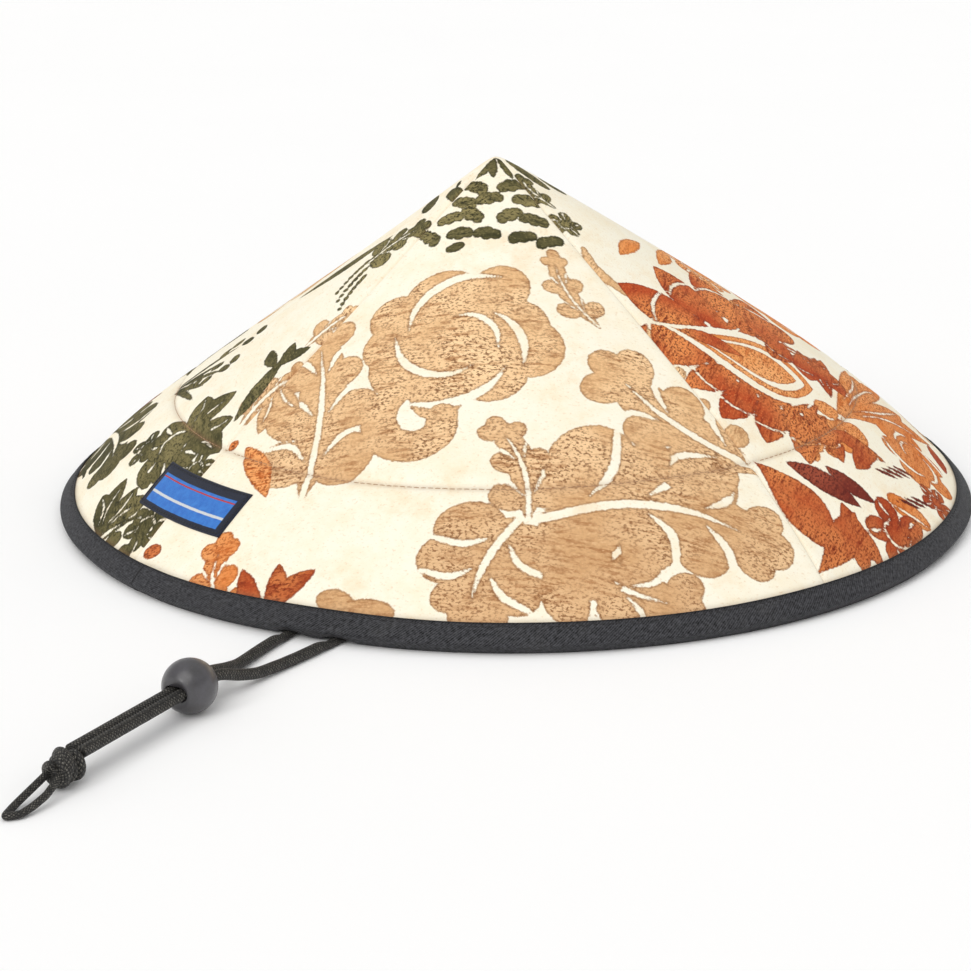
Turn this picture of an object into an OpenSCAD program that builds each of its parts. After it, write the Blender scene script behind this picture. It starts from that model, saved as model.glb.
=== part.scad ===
// Conical fabric sun hat with a foam core, standing on its rim, its chin cord laid out in front.
// Millimetres. The origin is the middle of the rim on the table, +Z runs up through the apex,
// and the cord leaves under the rim towards -Y. Depths are measured square to the sloping shell,
// from the outer face of the printed canvas towards the inside.

/* [Shell] */
// Radius of the hat over its edge binding
rim_r = 229; // [226:0.5:234]
// Height of the apex over the table
hat_h = 172; // [168:1:178]
// Radius of the stitched ring between crown and brim
ring_r = 170.5; // [167:0.5:173]
// Height of the stitched ring
ring_h = 56; // [54:0.5:58]
// Height of the canvas's outer edge inside the binding
edge_h = 4.5; // [4.4:0.1:4.7]

/* [Layers] */
// Thickness of the printed canvas
canvas_t = 0.8; // [0.5:0.1:0.9]
// Thickness of the foam core
foam_t = 4.2; // [4:0.1:4.4]
// Thickness of the lining
lining_t = 0.5; // [0.3:0.1:0.6]
// Clearance between neighbouring layers
layer_gap = 0.2; // [0.1:0.05:0.25]

/* [Edge binding] */
// Width of the folded tape up the slope, on each side
binding_w = 10.2; // [8:0.2:12]
// Thickness of the tape
binding_t = 0.6; // [0.5:0.1:0.7]

/* [Stitching and labels] */
// Thickness of the sewing thread
thread_d = 0.7; // [0.5:0.1:0.8]
// Width of the woven label along the brim
label_w = 66; // [50:1:72]
// Height of the woven label up the slope
label_h = 25; // [18:1:28]
// Distance of the label's lower edge from the edge of the canvas
label_s = 34; // [30:1:38]

/* [Headband] */
// Inner radius of the sweatband, for a head of about 57 cm
head_r = 90.5; // [86:0.5:91]
// Thickness of the sweatband
sweat_t = 2; // [1.5:0.1:2.2]
// Thickness of the webbing
web_t = 1.5; // [1:0.1:1.6]
// Height of the webbing
web_h = 30; // [26:1:32]
// Height of the webbing's lower edge over the table
web_z = 66; // [64:1:68]

/* [Chin cord] */
// Diameter of the braided cord
cord_d = 4.8; // [4.4:0.1:4.8]
// Diameter of the cord where it is drawn thin in the end loop
loop_cord_d = 3; // [2.8:0.1:3.8]
// Diameter of the sliding bead
bead_d = 22.5; // [22:0.1:22.5]
// Length of the bead along its bore
bead_l = 19; // [17:0.5:20]
// Clearance round each strand in the bead's bore
bore_gap = 0.4; // [0.3:0.05:0.6]

/* [Hidden] */
$fn = 96;

// Four gores meet at seams a quarter turn apart; the label sits near the seam of the wearer's front.
seam_turn = -52;
front_turn = seam_turn - 90;
label_turn = front_turn + 2;
back_turn = seam_turn + 90;
gore_gap = 0.08;
apex_hole_r = 1.5;

// The binding stands proud of the canvas and wraps the edge of every layer.
tape_gap = 0.4;
edge_r = rim_r - 1.3;
foam_depth = canvas_t + layer_gap;
lining_depth = foam_depth + foam_t + layer_gap;
tape_depth = lining_depth + lining_t + layer_gap;
crown_slope = atan((hat_h - ring_h) / ring_r);
brim_slope = atan((ring_h - edge_h) / (edge_r - ring_r));

// Headband layers, from the head outwards.
band_gap = 0.3;
web_r = head_r + sweat_t + band_gap;
elastic_r = web_r + web_t + band_gap;
elastic_t = 1.2;
elastic_half = 34;
tack_t = 0.5;
tab_w = 14;
tab_t = 6;
tab_h = 24;
tab_z = 60;
hanger_half = 7.5;
hanger_drop = 20;
hanger_foot = 18;

// The bead slides along the straight doubled stretch of the cord.
bead_at = [-129, -285, 11.3];
slide_turn = 61;
strand_side = cord_d / 2 + 0.05;
bead_clear = 16;
knot_reach = 78;
knot_half = 8;
knot_z = 7.4;

// Free stretches of the cord, from the anchor tabs down to the table, under the rim and to the bead.
left_route = [
  [-60, 77, 60], [-60, 77, 42], [-65, 79, 17], [-77, 73, 5], [-92, 52, 2.6], [-104, 10, 2.6],
  [-108, -40, 2.6], [-100, -90, 2.6], [-87, -130, 2.6], [-86, -170, 2.6], [-98, -206, 2.6],
  [-107, -223.5, 2.6], [-115, -243, 3.2], [-118.5, -255, 6.5]
];
right_route = [
  [60, -77, 60], [60, -77, 42], [64, -80, 17], [78, -82, 5], [98, -98, 2.6], [98, -134, 2.6],
  [68, -160, 2.6], [25, -166, 2.6], [-18, -158, 2.6], [-47, -166, 2.6], [-77, -214, 2.6],
  [-95, -239, 2.6], [-106, -254, 3.6], [-112.5, -263, 6.8]
];
loop_route = [
  [-171.5, -356.5, 7.6], [-175.5, -364, 5.5], [-182, -375, 1.8], [-183.5, -382.5, 1.7], [-178, -381, 1.8],
  [-170.5, -370, 4.2], [-167, -359, 7.6]
];
// Where each strand passes under the rim, and its direction there.
relief_spots = [[-98, -206, -111.5], [-77, -214, -122.5]];
relief_d = cord_d + 1.8;
relief_l = 60;

// Points of the shell's profile as [radius, height].
function on_crown(r, depth) = [r, hat_h - r * tan(crown_slope) - depth / cos(crown_slope)];
function on_brim(up, depth) = [
  edge_r - up * cos(brim_slope) - depth * sin(brim_slope),
  edge_h + up * sin(brim_slope) - depth * cos(brim_slope)
];
function knee_r(depth) = ring_r
  - depth * (1 / cos(brim_slope) - 1 / cos(crown_slope)) / (tan(brim_slope) - tan(crown_slope));
function knee(depth) = on_crown(knee_r(depth), depth);
function crown_band(r, d1, d2) = [on_crown(r, d1), knee(d1), knee(d2), on_crown(r, d2)];
function brim_band(up, d1, d2) = [knee(d1), on_brim(up, d1), on_brim(up, d2), knee(d2)];
function shell_band(r, up, d1, d2) = [
  on_crown(r, d1), knee(d1), on_brim(up, d1), on_brim(up, d2), knee(d2), on_crown(r, d2)
];

// Points of a smooth curve through route, with a ring about every step millimetres.
function curve_point(a, b, c, d, t) = 0.5 * (2 * b + (c - a) * t
  + (2 * a - 5 * b + 4 * c - d) * t * t + (3 * b - a - 3 * c + d) * t * t * t);
function span_rings(a, b, step) = max(1, round(norm(b - a) / step));
function smooth(route, before, after, step) = let (
    pts = concat([before], route, [after]),
    last = len(pts) - 3
  ) concat([
    for (i = [1:last]) let (n = span_rings(pts[i], pts[i + 1], step))
      for (k = [0:n - 1]) curve_point(pts[i - 1], pts[i], pts[i + 1], pts[i + 2], k / n)
  ], [pts[last + 1]]);

// A tube of sides flats along path: each ring keeps the turn of the one before it.
function unit(v) = v / norm(v);
function heading(path, i) = unit(path[min(i + 1, len(path) - 1)] - path[max(i - 1, 0)]);
function carried(side, along) = unit(side - (side * along) * along);
function sides_along(path, first) = [
  for (i = 0, side = first; i < len(path); i = i + 1,
       side = i < len(path) ? carried(side, heading(path, i)) : side) side
];
module tube(path, d, first, sides = 10) {
  n = len(path);
  around = sides_along(path, carried(first, heading(path, 0)));
  points = [
    for (i = [0:n - 1]) let (u = around[i], v = cross(heading(path, i), u))
      for (k = [0:sides - 1]) let (turn = 360 * k / sides) path[i] + d / 2 * (u * cos(turn) + v * sin(turn))
  ];
  walls = [
    for (i = [0:n - 2]) for (k = [0:sides - 1]) let (j = (k + 1) % sides)
      [i * sides + k, (i + 1) * sides + k, (i + 1) * sides + j, i * sides + j]
  ];
  first_cap = [for (k = [0:sides - 1]) k];
  last_cap = [for (k = [sides - 1:-1:0]) (n - 1) * sides + k];
  polyhedron(points, concat(walls, [first_cap, last_cap]), convexity = 8);
}

// Everything under height h is cut away.
module above(h) {
  difference() {
    children();
    translate([0, 0, h - 30]) cylinder(r = rim_r + 30, h = 30);
  }
}

// Shallow arches in the underside of the rim, where the two strands pass.
module cord_reliefs() {
  for (spot = relief_spots)
    translate([spot.x, spot.y, cord_d / 2 + 0.1]) rotate([0, 0, spot.z]) rotate([0, 90, 0])
      cylinder(d = relief_d, h = relief_l, center = true);
}

// A full ring of the shell with its rim trimmed inside the binding.
module trimmed(profile) {
  difference() {
    above(binding_t + 0.3) rotate_extrude() polygon(profile);
    cord_reliefs();
  }
}

// One printed gore: a quarter of the outer canvas from the apex to the rim.
module gore(quarter) {
  difference() {
    above(binding_t + 0.3) rotate([0, 0, seam_turn + 90 * quarter + gore_gap])
      rotate_extrude(angle = 90 - 2 * gore_gap)
        polygon(shell_band(apex_hole_r, 0, 0, canvas_t));
    cord_reliefs();
  }
}

module outer_right_gore() { color("wheat") gore(0); }
module outer_back_gore() { color("burlywood") gore(1); }
module outer_left_gore() { color("tan") gore(2); }
module outer_front_gore() { color("antiquewhite") gore(3); }

module crown_foam() {
  color("dimgray") rotate_extrude() polygon(crown_band(0, foam_depth, foam_depth + foam_t));
}

module brim_foam() {
  color("gray") trimmed(brim_band(0, foam_depth, foam_depth + foam_t));
}

module crown_lining() {
  color("darkslategray") rotate_extrude() polygon(crown_band(0, lining_depth, lining_depth + lining_t));
}

module brim_lining() {
  color("darkslategray") trimmed(brim_band(0, lining_depth, lining_depth + lining_t));
}

// Narrow tape over each seam on the inside, from near the apex to the binding.
module lining_seam_tapes() {
  width = 12;
  start = 12;
  color("black")
    for (quarter = [0:3])
      intersection() {
        rotate_extrude() polygon(shell_band(start, binding_w + 1, tape_depth, tape_depth + 0.5));
        rotate([0, 0, seam_turn + 90 * quarter]) translate([start + 1, -width / 2, 0])
          cube([rim_r, width, hat_h]);
      }
}

// Twill tape folded round the edge, with a flat fold that the hat stands on.
module edge_binding() {
  out_depth = -layer_gap - binding_t;
  in_depth = tape_depth + binding_t;
  color("#222224") difference() {
    above(0) rotate_extrude() polygon([
      on_brim(binding_w, out_depth), on_brim(-tape_gap - binding_t, out_depth),
      on_brim(-tape_gap - binding_t, in_depth), on_brim(binding_w, in_depth)
    ]);
    above(binding_t) rotate_extrude() polygon([
      on_brim(binding_w + 5, -layer_gap), on_brim(-tape_gap, -layer_gap),
      on_brim(-tape_gap, tape_depth), on_brim(binding_w + 5, tape_depth)
    ]);
    cord_reliefs();
  }
}

// A ring of thread whose middle is at the profile point p.
module thread_ring(p) {
  translate([0, 0, p.y]) rotate_extrude() translate([p.x, 0]) circle(d = thread_d, $fn = 24);
}

// Needle thread outside and bobbin thread inside, through every layer.
module ring_stitching() {
  color("black") {
    thread_ring(knee(-thread_d / 2));
    thread_ring(knee(tape_depth + 0.5 + thread_d / 2));
  }
}

module binding_stitching() {
  up = binding_w - 1.8;
  color("black") {
    thread_ring(on_brim(up, -layer_gap - binding_t - thread_d / 2));
    difference() {
      thread_ring(on_brim(up, tape_depth + binding_t + thread_d / 2));
      cord_reliefs();
    }
  }
}

// The label's outline inset by edge, as a curved patch between two depths.
module label_patch(edge, d1, d2) {
  intersection() {
    rotate_extrude() polygon([
      on_brim(label_s + label_h - edge, d1), on_brim(label_s + edge, d1),
      on_brim(label_s + edge, d2), on_brim(label_s + label_h - edge, d2)
    ]);
    rotate([0, 0, label_turn]) translate([0, -label_w / 2 + edge, 0])
      cube([rim_r, label_w - 2 * edge, hat_h]);
  }
}

module woven_label() {
  color("#1c2a44") label_patch(0, -1, -layer_gap);
}

module label_stitching() {
  color("black") difference() {
    label_patch(1.4, -1.45, -1.05);
    label_patch(1.4 + thread_d, -2, -0.5);
  }
}

// A band standing on height z, from angle first to angle last.
module band(r, t, z, h, first, last) {
  translate([0, 0, z]) rotate([0, 0, first]) rotate_extrude(angle = last - first)
    translate([r, 0]) square([t, h]);
}

// Stiff webbing round the head, open behind, where the elastic bridges it.
module headband_webbing() {
  half_open = elastic_half - 6;
  color("#26262a") band(web_r, web_t, web_z, web_h, back_turn + half_open, back_turn + 360 - half_open);
}

module headband_elastic() {
  color("#3a3a40")
    band(elastic_r, elastic_t, web_z + 2, web_h - 4, back_turn - elastic_half, back_turn + elastic_half);
}

module sweatband() {
  color("#45464c") translate([0, 0, web_z - 2]) difference() {
    cylinder(r = head_r + sweat_t, h = web_h + 3);
    translate([0, 0, -1]) cylinder(r = head_r, h = web_h + 5);
  }
}

// Webbing tabs that hang the headband from the lining, in the middle of each gore.
module headband_hangers() {
  leg = elastic_r + 0.1;
  leg_t = 1.2;
  top_depth = lining_depth + lining_t + 0.05;
  color("black")
    for (quarter = [0:3])
      rotate([0, 0, seam_turn + 45 + 90 * quarter - hanger_half])
        rotate_extrude(angle = 2 * hanger_half) polygon([
          [leg, on_crown(leg, top_depth).y - hanger_drop],
          [leg + leg_t, on_crown(leg, top_depth).y - hanger_drop],
          on_crown(leg + leg_t, top_depth + leg_t),
          on_crown(leg + hanger_foot, top_depth + leg_t),
          on_crown(leg + hanger_foot, top_depth),
          on_crown(leg, top_depth)
        ]);
}

// A folded webbing tab on the headband; the cord's end is sewn into its lower face.
module cord_anchor(turn) {
  inner = web_r + web_t + 0.1;
  color("black") rotate([0, 0, turn]) intersection() {
    band(inner, tab_t, tab_z, tab_h, -20, 20);
    translate([inner - 5, -tab_w / 2, tab_z]) cube([tab_t + 10, tab_w, tab_h]);
  }
}

module cord_anchor_left() { cord_anchor(front_turn - 90); }
module cord_anchor_right() { cord_anchor(front_turn + 90); }

// Dense zigzag stitches: two on each anchor tab and one on each hanger.
module bar_tacks() {
  on_tab = web_r + web_t + 0.1 + tab_t;
  on_hanger = elastic_r + 1.3;
  color("black") {
    for (side = [-90, 90]) for (z = [tab_z + 6, tab_z + tab_h - 5])
      rotate([0, 0, front_turn + side]) band(on_tab, tack_t, z, 1.6, -3, 3);
    for (quarter = [0:3])
      rotate([0, 0, seam_turn + 45 + 90 * quarter]) band(on_hanger, tack_t, 84, 1.6, -5, 5);
  }
}

// Plain tag sewn under the headband's lower edge.
module care_label() {
  color("white") rotate([0, 0, front_turn + 48]) translate([web_r + web_t + 0.1, -12, web_z - 24])
    cube([0.4, 24, 34]);
}

// A point of one strand's straight stretch: along the slide from the bead, to the side by half the pair.
along_slide = [cos(slide_turn), sin(slide_turn), 0];
across_slide = [-sin(slide_turn), cos(slide_turn), 0];
function on_slide(along, side) = bead_at + along * along_slide + side * strand_side * across_slide;

// One strand from its anchor tab through the bead into the knot.
module strand(route, side) {
  start = on_slide(bead_clear, side);
  free = smooth(concat(route, [start]), route[0] + [0, 0, 18], on_slide(-6, side), 3 * cord_d);
  straight = [for (along = [0, -34, knot_half - knot_reach - 1]) on_slide(along, side)];
  tube(concat(free, straight), cord_d, [1, 0, 0]);
}

module chin_cord_left() { color("#18181a") strand(left_route, 1); }
module chin_cord_right() { color("#18181a") strand(right_route, -1); }

// A ball with small flats. Its bore is a slot that the two strands fill side by side.
module cord_bead() {
  bore_d = cord_d + 2 * bore_gap;
  color("#2b2c33") translate(bead_at) rotate([0, 0, slide_turn]) rotate([0, 90, 0])
    difference() {
      intersection() {
        sphere(d = bead_d);
        cylinder(d = bead_d + 2, h = bead_l, center = true);
      }
      for (side = [-1, 1])
        translate([0, side * strand_side, 0]) cylinder(d = bore_d, h = bead_l + 2, center = true);
      cube([bore_d, 2 * strand_side, bead_l + 2], center = true);
    }
}

// The overhand knot that keeps the bead on: two turns of cord round a core.
module end_knot() {
  middle = on_slide(-knot_reach, 0);
  turn_r = 4.2;
  coil_d = 6.2;
  color("#18181a") translate([middle.x, middle.y, knot_z]) rotate([0, 0, slide_turn]) rotate([0, 90, 0]) {
    cylinder(r = turn_r, h = 2 * knot_half - 3, center = true);
    for (side = [-1, 1]) translate([0, 0, side * 3.1]) rotate_extrude()
      translate([turn_r, 0]) circle(d = coil_d, $fn = 48);
  }
}

module end_loop() {
  color("#18181a")
    tube(smooth(loop_route, [-168, -349, 9], [-164, -350, 9.5], 2.2 * loop_cord_d), loop_cord_d, [1, 0, 0]);
}

outer_front_gore();
outer_right_gore();
outer_back_gore();
outer_left_gore();
crown_foam();
brim_foam();
crown_lining();
brim_lining();
lining_seam_tapes();
edge_binding();
ring_stitching();
binding_stitching();
woven_label();
label_stitching();
headband_webbing();
headband_elastic();
sweatband();
headband_hangers();
cord_anchor_left();
cord_anchor_right();
bar_tacks();
care_label();
chin_cord_left();
chin_cord_right();
cord_bead();
end_knot();
end_loop();
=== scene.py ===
from math import acos, atan2, cos, degrees, hypot, log, pi, radians, sin, sqrt

import bpy
import numpy as np
from mathutils import Matrix, Vector


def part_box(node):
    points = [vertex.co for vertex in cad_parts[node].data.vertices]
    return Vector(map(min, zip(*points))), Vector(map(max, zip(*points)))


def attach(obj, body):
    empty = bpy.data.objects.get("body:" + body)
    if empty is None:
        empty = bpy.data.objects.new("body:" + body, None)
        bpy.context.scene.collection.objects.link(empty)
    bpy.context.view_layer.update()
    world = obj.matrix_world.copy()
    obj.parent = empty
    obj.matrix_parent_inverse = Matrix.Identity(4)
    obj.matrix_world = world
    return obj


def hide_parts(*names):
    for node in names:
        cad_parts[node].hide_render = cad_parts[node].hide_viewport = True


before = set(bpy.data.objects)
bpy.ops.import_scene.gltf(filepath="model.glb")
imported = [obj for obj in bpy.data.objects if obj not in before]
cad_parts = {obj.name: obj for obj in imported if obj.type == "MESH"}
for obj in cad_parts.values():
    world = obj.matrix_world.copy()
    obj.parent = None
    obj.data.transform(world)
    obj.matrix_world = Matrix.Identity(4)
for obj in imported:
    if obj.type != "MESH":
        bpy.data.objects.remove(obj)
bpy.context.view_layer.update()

MM = 0.001

# Driving dimensions, in metres and radians. Azimuth is measured from -Y towards +X.
RIM_R = float(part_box("edge_binding")[1][0])
HAT_H = 0.172
RING_R = 0.1705
RING_H = 0.056
EDGE_R = RIM_R - 0.0013
EDGE_H = 0.0045
CROWN_TAN = (HAT_H - RING_H) / RING_R
BRIM_TAN = (RING_H - EDGE_H) / (EDGE_R - RING_R)
BRIM_COS = 1 / hypot(1, BRIM_TAN)
CROWN_LEN = hypot(RING_R, HAT_H - RING_H)
BRIM_LEN = hypot(EDGE_R - RING_R, RING_H - EDGE_H)
SHELL_LEN = CROWN_LEN + BRIM_LEN
SEAM = radians(38)
QUARTER = pi / 2
LABEL_AZ = radians(-50)
LAP_AZ = radians(-49.2)
LEAN = -0.0083
FOAM_IN, FOAM_OUT = 5.2 * MM, 1.0 * MM
LINING_IN = 5.9 * MM
TAPE_IN = 6.7 * MM
BINDING_W = 10.2 * MM
STITCH_UP = BINDING_W - 1.8 * MM
RING_STITCHES, RIM_STITCHES = 330, 435
# The label's width, its height, and how far up the slope from the rim it starts.
LABEL_W, LABEL_H, LABEL_S = 66 * MM, 25 * MM, 34 * MM

# Camera: an 88 mm lens on a 36 mm sensor, 1.2 m away and 15.6 degrees up, very slightly rolled.
CAM_DISTANCE = 1.2
CAM_UP = radians(15.63)
CAM_ROLL = radians(0.61)
CAM_AIM = Vector((-0.0150, 0.0, 0.0021))
CAM_LENS = 88.3

# Chin cord, from part.scad.
CORD_D = 4.8 * MM
CARRIERS, BRAID_PITCH, BRAID_DEPTH = 8, 12 * MM, 0.02
LOOP_D = 3.0 * MM
BEAD_AT = np.array([-129, -285, 11.3]) * MM
SLIDE_TURN = radians(61)
ALONG = np.array([cos(SLIDE_TURN), sin(SLIDE_TURN), 0])
ACROSS = np.array([-sin(SLIDE_TURN), cos(SLIDE_TURN), 0])
STRAND_SIDE = CORD_D / 2 + 0.05 * MM
BORE_R = CORD_D / 2 + 0.4 * MM
KNOT_REACH = 78 * MM
LEFT_ROUTE = [
    (-60, 77, 60), (-60, 77, 42), (-65, 79, 17), (-77, 73, 5), (-92, 52, 2.6), (-104, 10, 2.6),
    (-108, -40, 2.6), (-100, -90, 2.6), (-87, -130, 2.6), (-86, -170, 2.6), (-98, -206, 2.6),
    (-107, -223.5, 2.6), (-115, -243, 3.2), (-118.5, -255, 6.5),
]
RIGHT_ROUTE = [
    (60, -77, 60), (60, -77, 42), (64, -80, 17), (78, -82, 5), (98, -98, 2.6), (98, -134, 2.6),
    (68, -160, 2.6), (25, -166, 2.6), (-18, -158, 2.6), (-47, -166, 2.6), (-77, -214, 2.6),
    (-95, -239, 2.6), (-106, -254, 3.6), (-112.5, -263, 6.8),
]
LOOP_ROUTE = [
    (-171.5, -356.5, 7.6), (-175.5, -364, 5.5), (-182, -375, 1.8), (-183.5, -382.5, 1.7), (-178, -381, 1.8),
    (-170.5, -370, 4.2), (-167, -359, 7.6),
]


# Small helpers
def smoothstep(x, low, high):
    t = np.clip((x - low) / (high - low), 0, 1)
    return t * t * (3 - 2 * t)


def bell(x, width):
    return np.exp(-((x / width) ** 2))


def turn_between(a, b):
    """The angle from b to a, between -pi and pi."""
    return (a - b + pi) % (2 * pi) - pi


def linear(tone):
    """A colour given in sRGB from 0 to 255, as scene-linear RGBA."""
    def one(c):
        c /= 255
        return c / 12.92 if c <= 0.04045 else ((c + 0.055) / 1.055) ** 2.4
    return (*map(one, tone), 1.0)


def new_object(name, data):
    obj = bpy.data.objects.new(name, data)
    bpy.context.scene.collection.objects.link(obj)
    return obj


def mesh_object(name, verts, faces, material, smooth=True, **facts):
    """A mesh object. facts are attributes: a number or a vector for each point."""
    mesh = bpy.data.meshes.new(name)
    faces = faces if isinstance(faces, list) else faces.tolist()
    mesh.from_pydata(verts.tolist(), [], faces, shade_flat=not smooth)
    for key, values in facts.items():
        values = np.asarray(values, np.float32)
        kind, field = ("FLOAT", "value") if values.ndim == 1 else ("FLOAT_VECTOR", "vector")
        mesh.attributes.new(key, kind, "POINT").data.foreach_set(field, values.ravel())
    mesh.materials.append(material)
    return new_object(name, mesh)


def unit(vectors):
    return vectors / np.linalg.norm(vectors, axis=-1, keepdims=True)


def around(r, az, z):
    """Points at radius r, azimuth az and height z."""
    return np.stack(np.broadcast_arrays(r * np.sin(az), -r * np.cos(az), z), -1)


def full_turn(count):
    return np.linspace(0, 2 * pi, count, endpoint=False)


def grid(rows, cols):
    """Two arrays with the values of rows down and of cols across."""
    return np.meshgrid(rows, cols, indexing="ij")


def quads(rows, cols, wrap_rows=False, wrap_cols=False, start=0, flip=False):
    """Quads over a rows x cols grid of points."""
    i = np.arange(rows if wrap_rows else rows - 1)
    j = np.arange(cols if wrap_cols else cols - 1)
    i, j = (a.ravel() for a in grid(i, j))
    i2, j2 = (i + 1) % rows, (j + 1) % cols
    f = np.stack([i * cols + j, i2 * cols + j, i2 * cols + j2, i * cols + j2], 1) + start
    return f[:, ::-1] if flip else f


# Shader graphs
class Value:
    """A node's output. Sums, differences and products of them make Math nodes."""

    def __init__(self, graph, socket):
        self.graph, self.socket = graph, socket

    def __add__(self, other):
        return self.graph.math("ADD", self, other)

    def __sub__(self, other):
        return self.graph.math("SUBTRACT", self, other)

    def __rsub__(self, other):
        return self.graph.math("SUBTRACT", other, self)

    def __mul__(self, other):
        return self.graph.math("MULTIPLY", self, other)

    def __radd__(self, other):
        return self.graph.math("ADD", other, self)


class Graph:
    """A material's node tree. A socket takes a number, a colour or a Value."""

    def __init__(self, name, rough, **fixed):
        self.material = bpy.data.materials.new(name)
        self.material.use_nodes = True
        self.nodes, self.links = self.material.node_tree.nodes, self.material.node_tree.links
        self.shader = self.nodes["Principled BSDF"]
        self.set(Roughness=rough, **fixed)

    def put(self, socket, value):
        if isinstance(value, Value):
            self.links.new(value.socket, socket)
        else:
            socket.default_value = value

    def set(self, **inputs):
        for key, value in inputs.items():
            self.put(self.shader.inputs[key.replace("_", " ")], value)

    def done(self, colour, worn, smooth, rough, normal, low=0.3):
        """Sets the colour, the normal and a roughness that follows worn, and gives the material."""
        self.set(Base_Color=colour, Roughness=self.span(worn, low, 0.7, smooth, rough), Normal=normal)
        return self.material

    def add(self, kind, values=(), out=0, props=None, **inputs):
        """A new node. values fill its first inputs, and inputs fill named ones."""
        node = self.nodes.new("ShaderNode" + kind)
        for key, value in (props or {}).items():
            setattr(node, key, value)
        for socket, value in zip(node.inputs, values):
            self.put(socket, value)
        for key, value in inputs.items():
            self.put(node.inputs[key], value)
        return Value(self, node.outputs[out])

    def attribute(self, name, out="Vector"):
        return self.add("Attribute", out=out, props={"attribute_name": name})

    def place(self):
        """Where a point lies, in the object's own metres."""
        return self.add("TexCoord", out=3)

    def math(self, operation, a, b=0.0):
        return self.add("Math", (a, b), props={"operation": operation})

    def span(self, value, low, high, to_low=0.0, to_high=1.0):
        return self.add("MapRange", (value, low, high, to_low, to_high))

    def mix(self, factor, a, b, blend="MIX"):
        node = self.add("Mix", (factor,), 2, {"data_type": "RGBA", "blend_type": blend}).socket.node
        for socket, tone in zip(node.inputs[6:8], (a, b)):
            self.put(socket, tone if isinstance(tone, Value) else linear(tone))
        return Value(self, node.outputs[2])

    def noise(self, where, scale, detail=3.0, rough=0.55, stretch=None, shift=None):
        if stretch or shift:
            where = self.add("Mapping", Vector=where, Scale=stretch or (1, 1, 1), Location=shift or (0, 0, 0))
        return self.add("TexNoise", Vector=where, Scale=scale, Detail=detail, Roughness=rough)

    def ramp(self, value, *stops):
        colour = self.add("ValToRGB", (value,))
        bar = colour.socket.node.color_ramp
        for element, (position, tone) in zip(bar.elements, (stops[0], stops[-1])):
            element.position, element.color = position, linear(tone)
        for position, tone in stops[1:-1]:
            bar.elements.new(position).color = linear(tone)
        return colour

    def parts(self, vector):
        node = self.add("SeparateXYZ", (vector,)).socket.node
        return [Value(self, output) for output in node.outputs]

    def bump(self, height, distance, strength=1.0, over=None):
        extra = {"Normal": over} if over else {}
        return self.add("Bump", Height=height, Distance=distance, Strength=strength, **extra)


def half_wave(graph, value, pitch, turn=0.0):
    """A sine between 0 and 1 that repeats every pitch metres."""
    phase = value * (2 * pi / pitch) + turn
    return graph.math("SINE", phase) * 0.5 + 0.5


# The soft shell: one surface that every layer of the hat follows
def outline(r):
    """Height of the outer canvas at radius r: crown and brim blended at the ring, and a rounded apex."""
    crown = HAT_H + 0.6 * MM - np.hypot(r * CROWN_TAN, 2 * MM)
    brim = RING_H + (RING_R - r) * BRIM_TAN
    soft = 1.6 * MM
    return -soft * np.logaddexp(-crown / soft, -brim / soft)


def lean_of(r):
    return LEAN * np.clip(1 - r / RING_R, 0, 1)


CORD_AZ = [radians(a) for a in (-25.4, -19.8)]


def rim_lift(r, az):
    """How far the springy rim is raised round the two strands of the cord that pass under it."""
    over_cord = sum(bell(turn_between(az, a), 0.22) for a in CORD_AZ)
    return 0.7 * MM * over_cord * smoothstep(r, 0.17, EDGE_R)


def arch(az):
    """Height of the rim's underside: it sits on the table except over the strands."""
    return 3.2 * MM * np.minimum(1, sum(bell(turn_between(az, a), 0.030) for a in CORD_AZ) * 1.3)


def on_table(points, low, az):
    """The points, lifted where they lie less than low above the rim's underside."""
    points[..., 2] = np.maximum(points[..., 2], low + arch(az))
    return points


def relief(r, az):
    """How far the cloth stands out of the plain outline, along its normal."""
    brim = np.clip((r - RING_R) / (EDGE_R - RING_R), 0, 1)
    out = 1.6 * MM * np.sin(pi * brim)
    out = out + 1.9 * MM * np.sin(az) * np.sin(pi * np.clip(r / 0.205, 0, 1))
    out = out + 0.7 * MM * np.sin(3 * az + 0.6) * smoothstep(r, 0.03, 0.15) * (1 - smoothstep(r, 0.2, EDGE_R))
    out = out + 0.5 * MM * np.sin(5 * az + 2.1 + 30 * r) * smoothstep(r, 0.06, 0.17) * (1 - 0.7 * brim)
    out = out + 0.25 * MM * np.sin(11 * az - 55 * r + 0.4) * smoothstep(r, 0.1, 0.2)
    pucker = 0.5 + 0.5 * np.sin(az * 108) * np.sin(az * 37 + 1.3)
    ring = r - RING_R
    out = out - (0.9 + 0.35 * pucker) * MM * bell(ring, 1.7 * MM)
    return out + 0.22 * pucker * MM * bell(np.abs(ring) - 5 * MM, 3 * MM)


def seam_dip(r, az):
    """The groove where two gores meet, with the slight swell of the seam allowance beside it."""
    gap = r * np.abs(turn_between(az, SEAM + QUARTER * np.round(turn_between(az, SEAM) / QUARTER)))
    fade = smoothstep(r, 0.004, 0.02)
    return (-0.75 * MM * bell(gap, 0.8 * MM) + 0.3 * MM * bell(gap - 4 * MM, 3 * MM)) * fade


def shell(r, az, depth, out=0.0):
    """Points at radius r and azimuth az of the shell, depth below the outer canvas."""
    r, az, depth = np.broadcast_arrays(r, az, depth)
    step = 0.05 * MM
    turn = np.arctan2(outline(np.abs(r - step)) - outline(r + step), 2 * step)
    off = relief(r, az) + out - depth
    far = r + off * np.sin(turn)
    z = outline(r) + off * np.cos(turn) + rim_lift(r, az)
    return np.stack([far * np.sin(az) + lean_of(r), -far * np.cos(az), z], -1)


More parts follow.
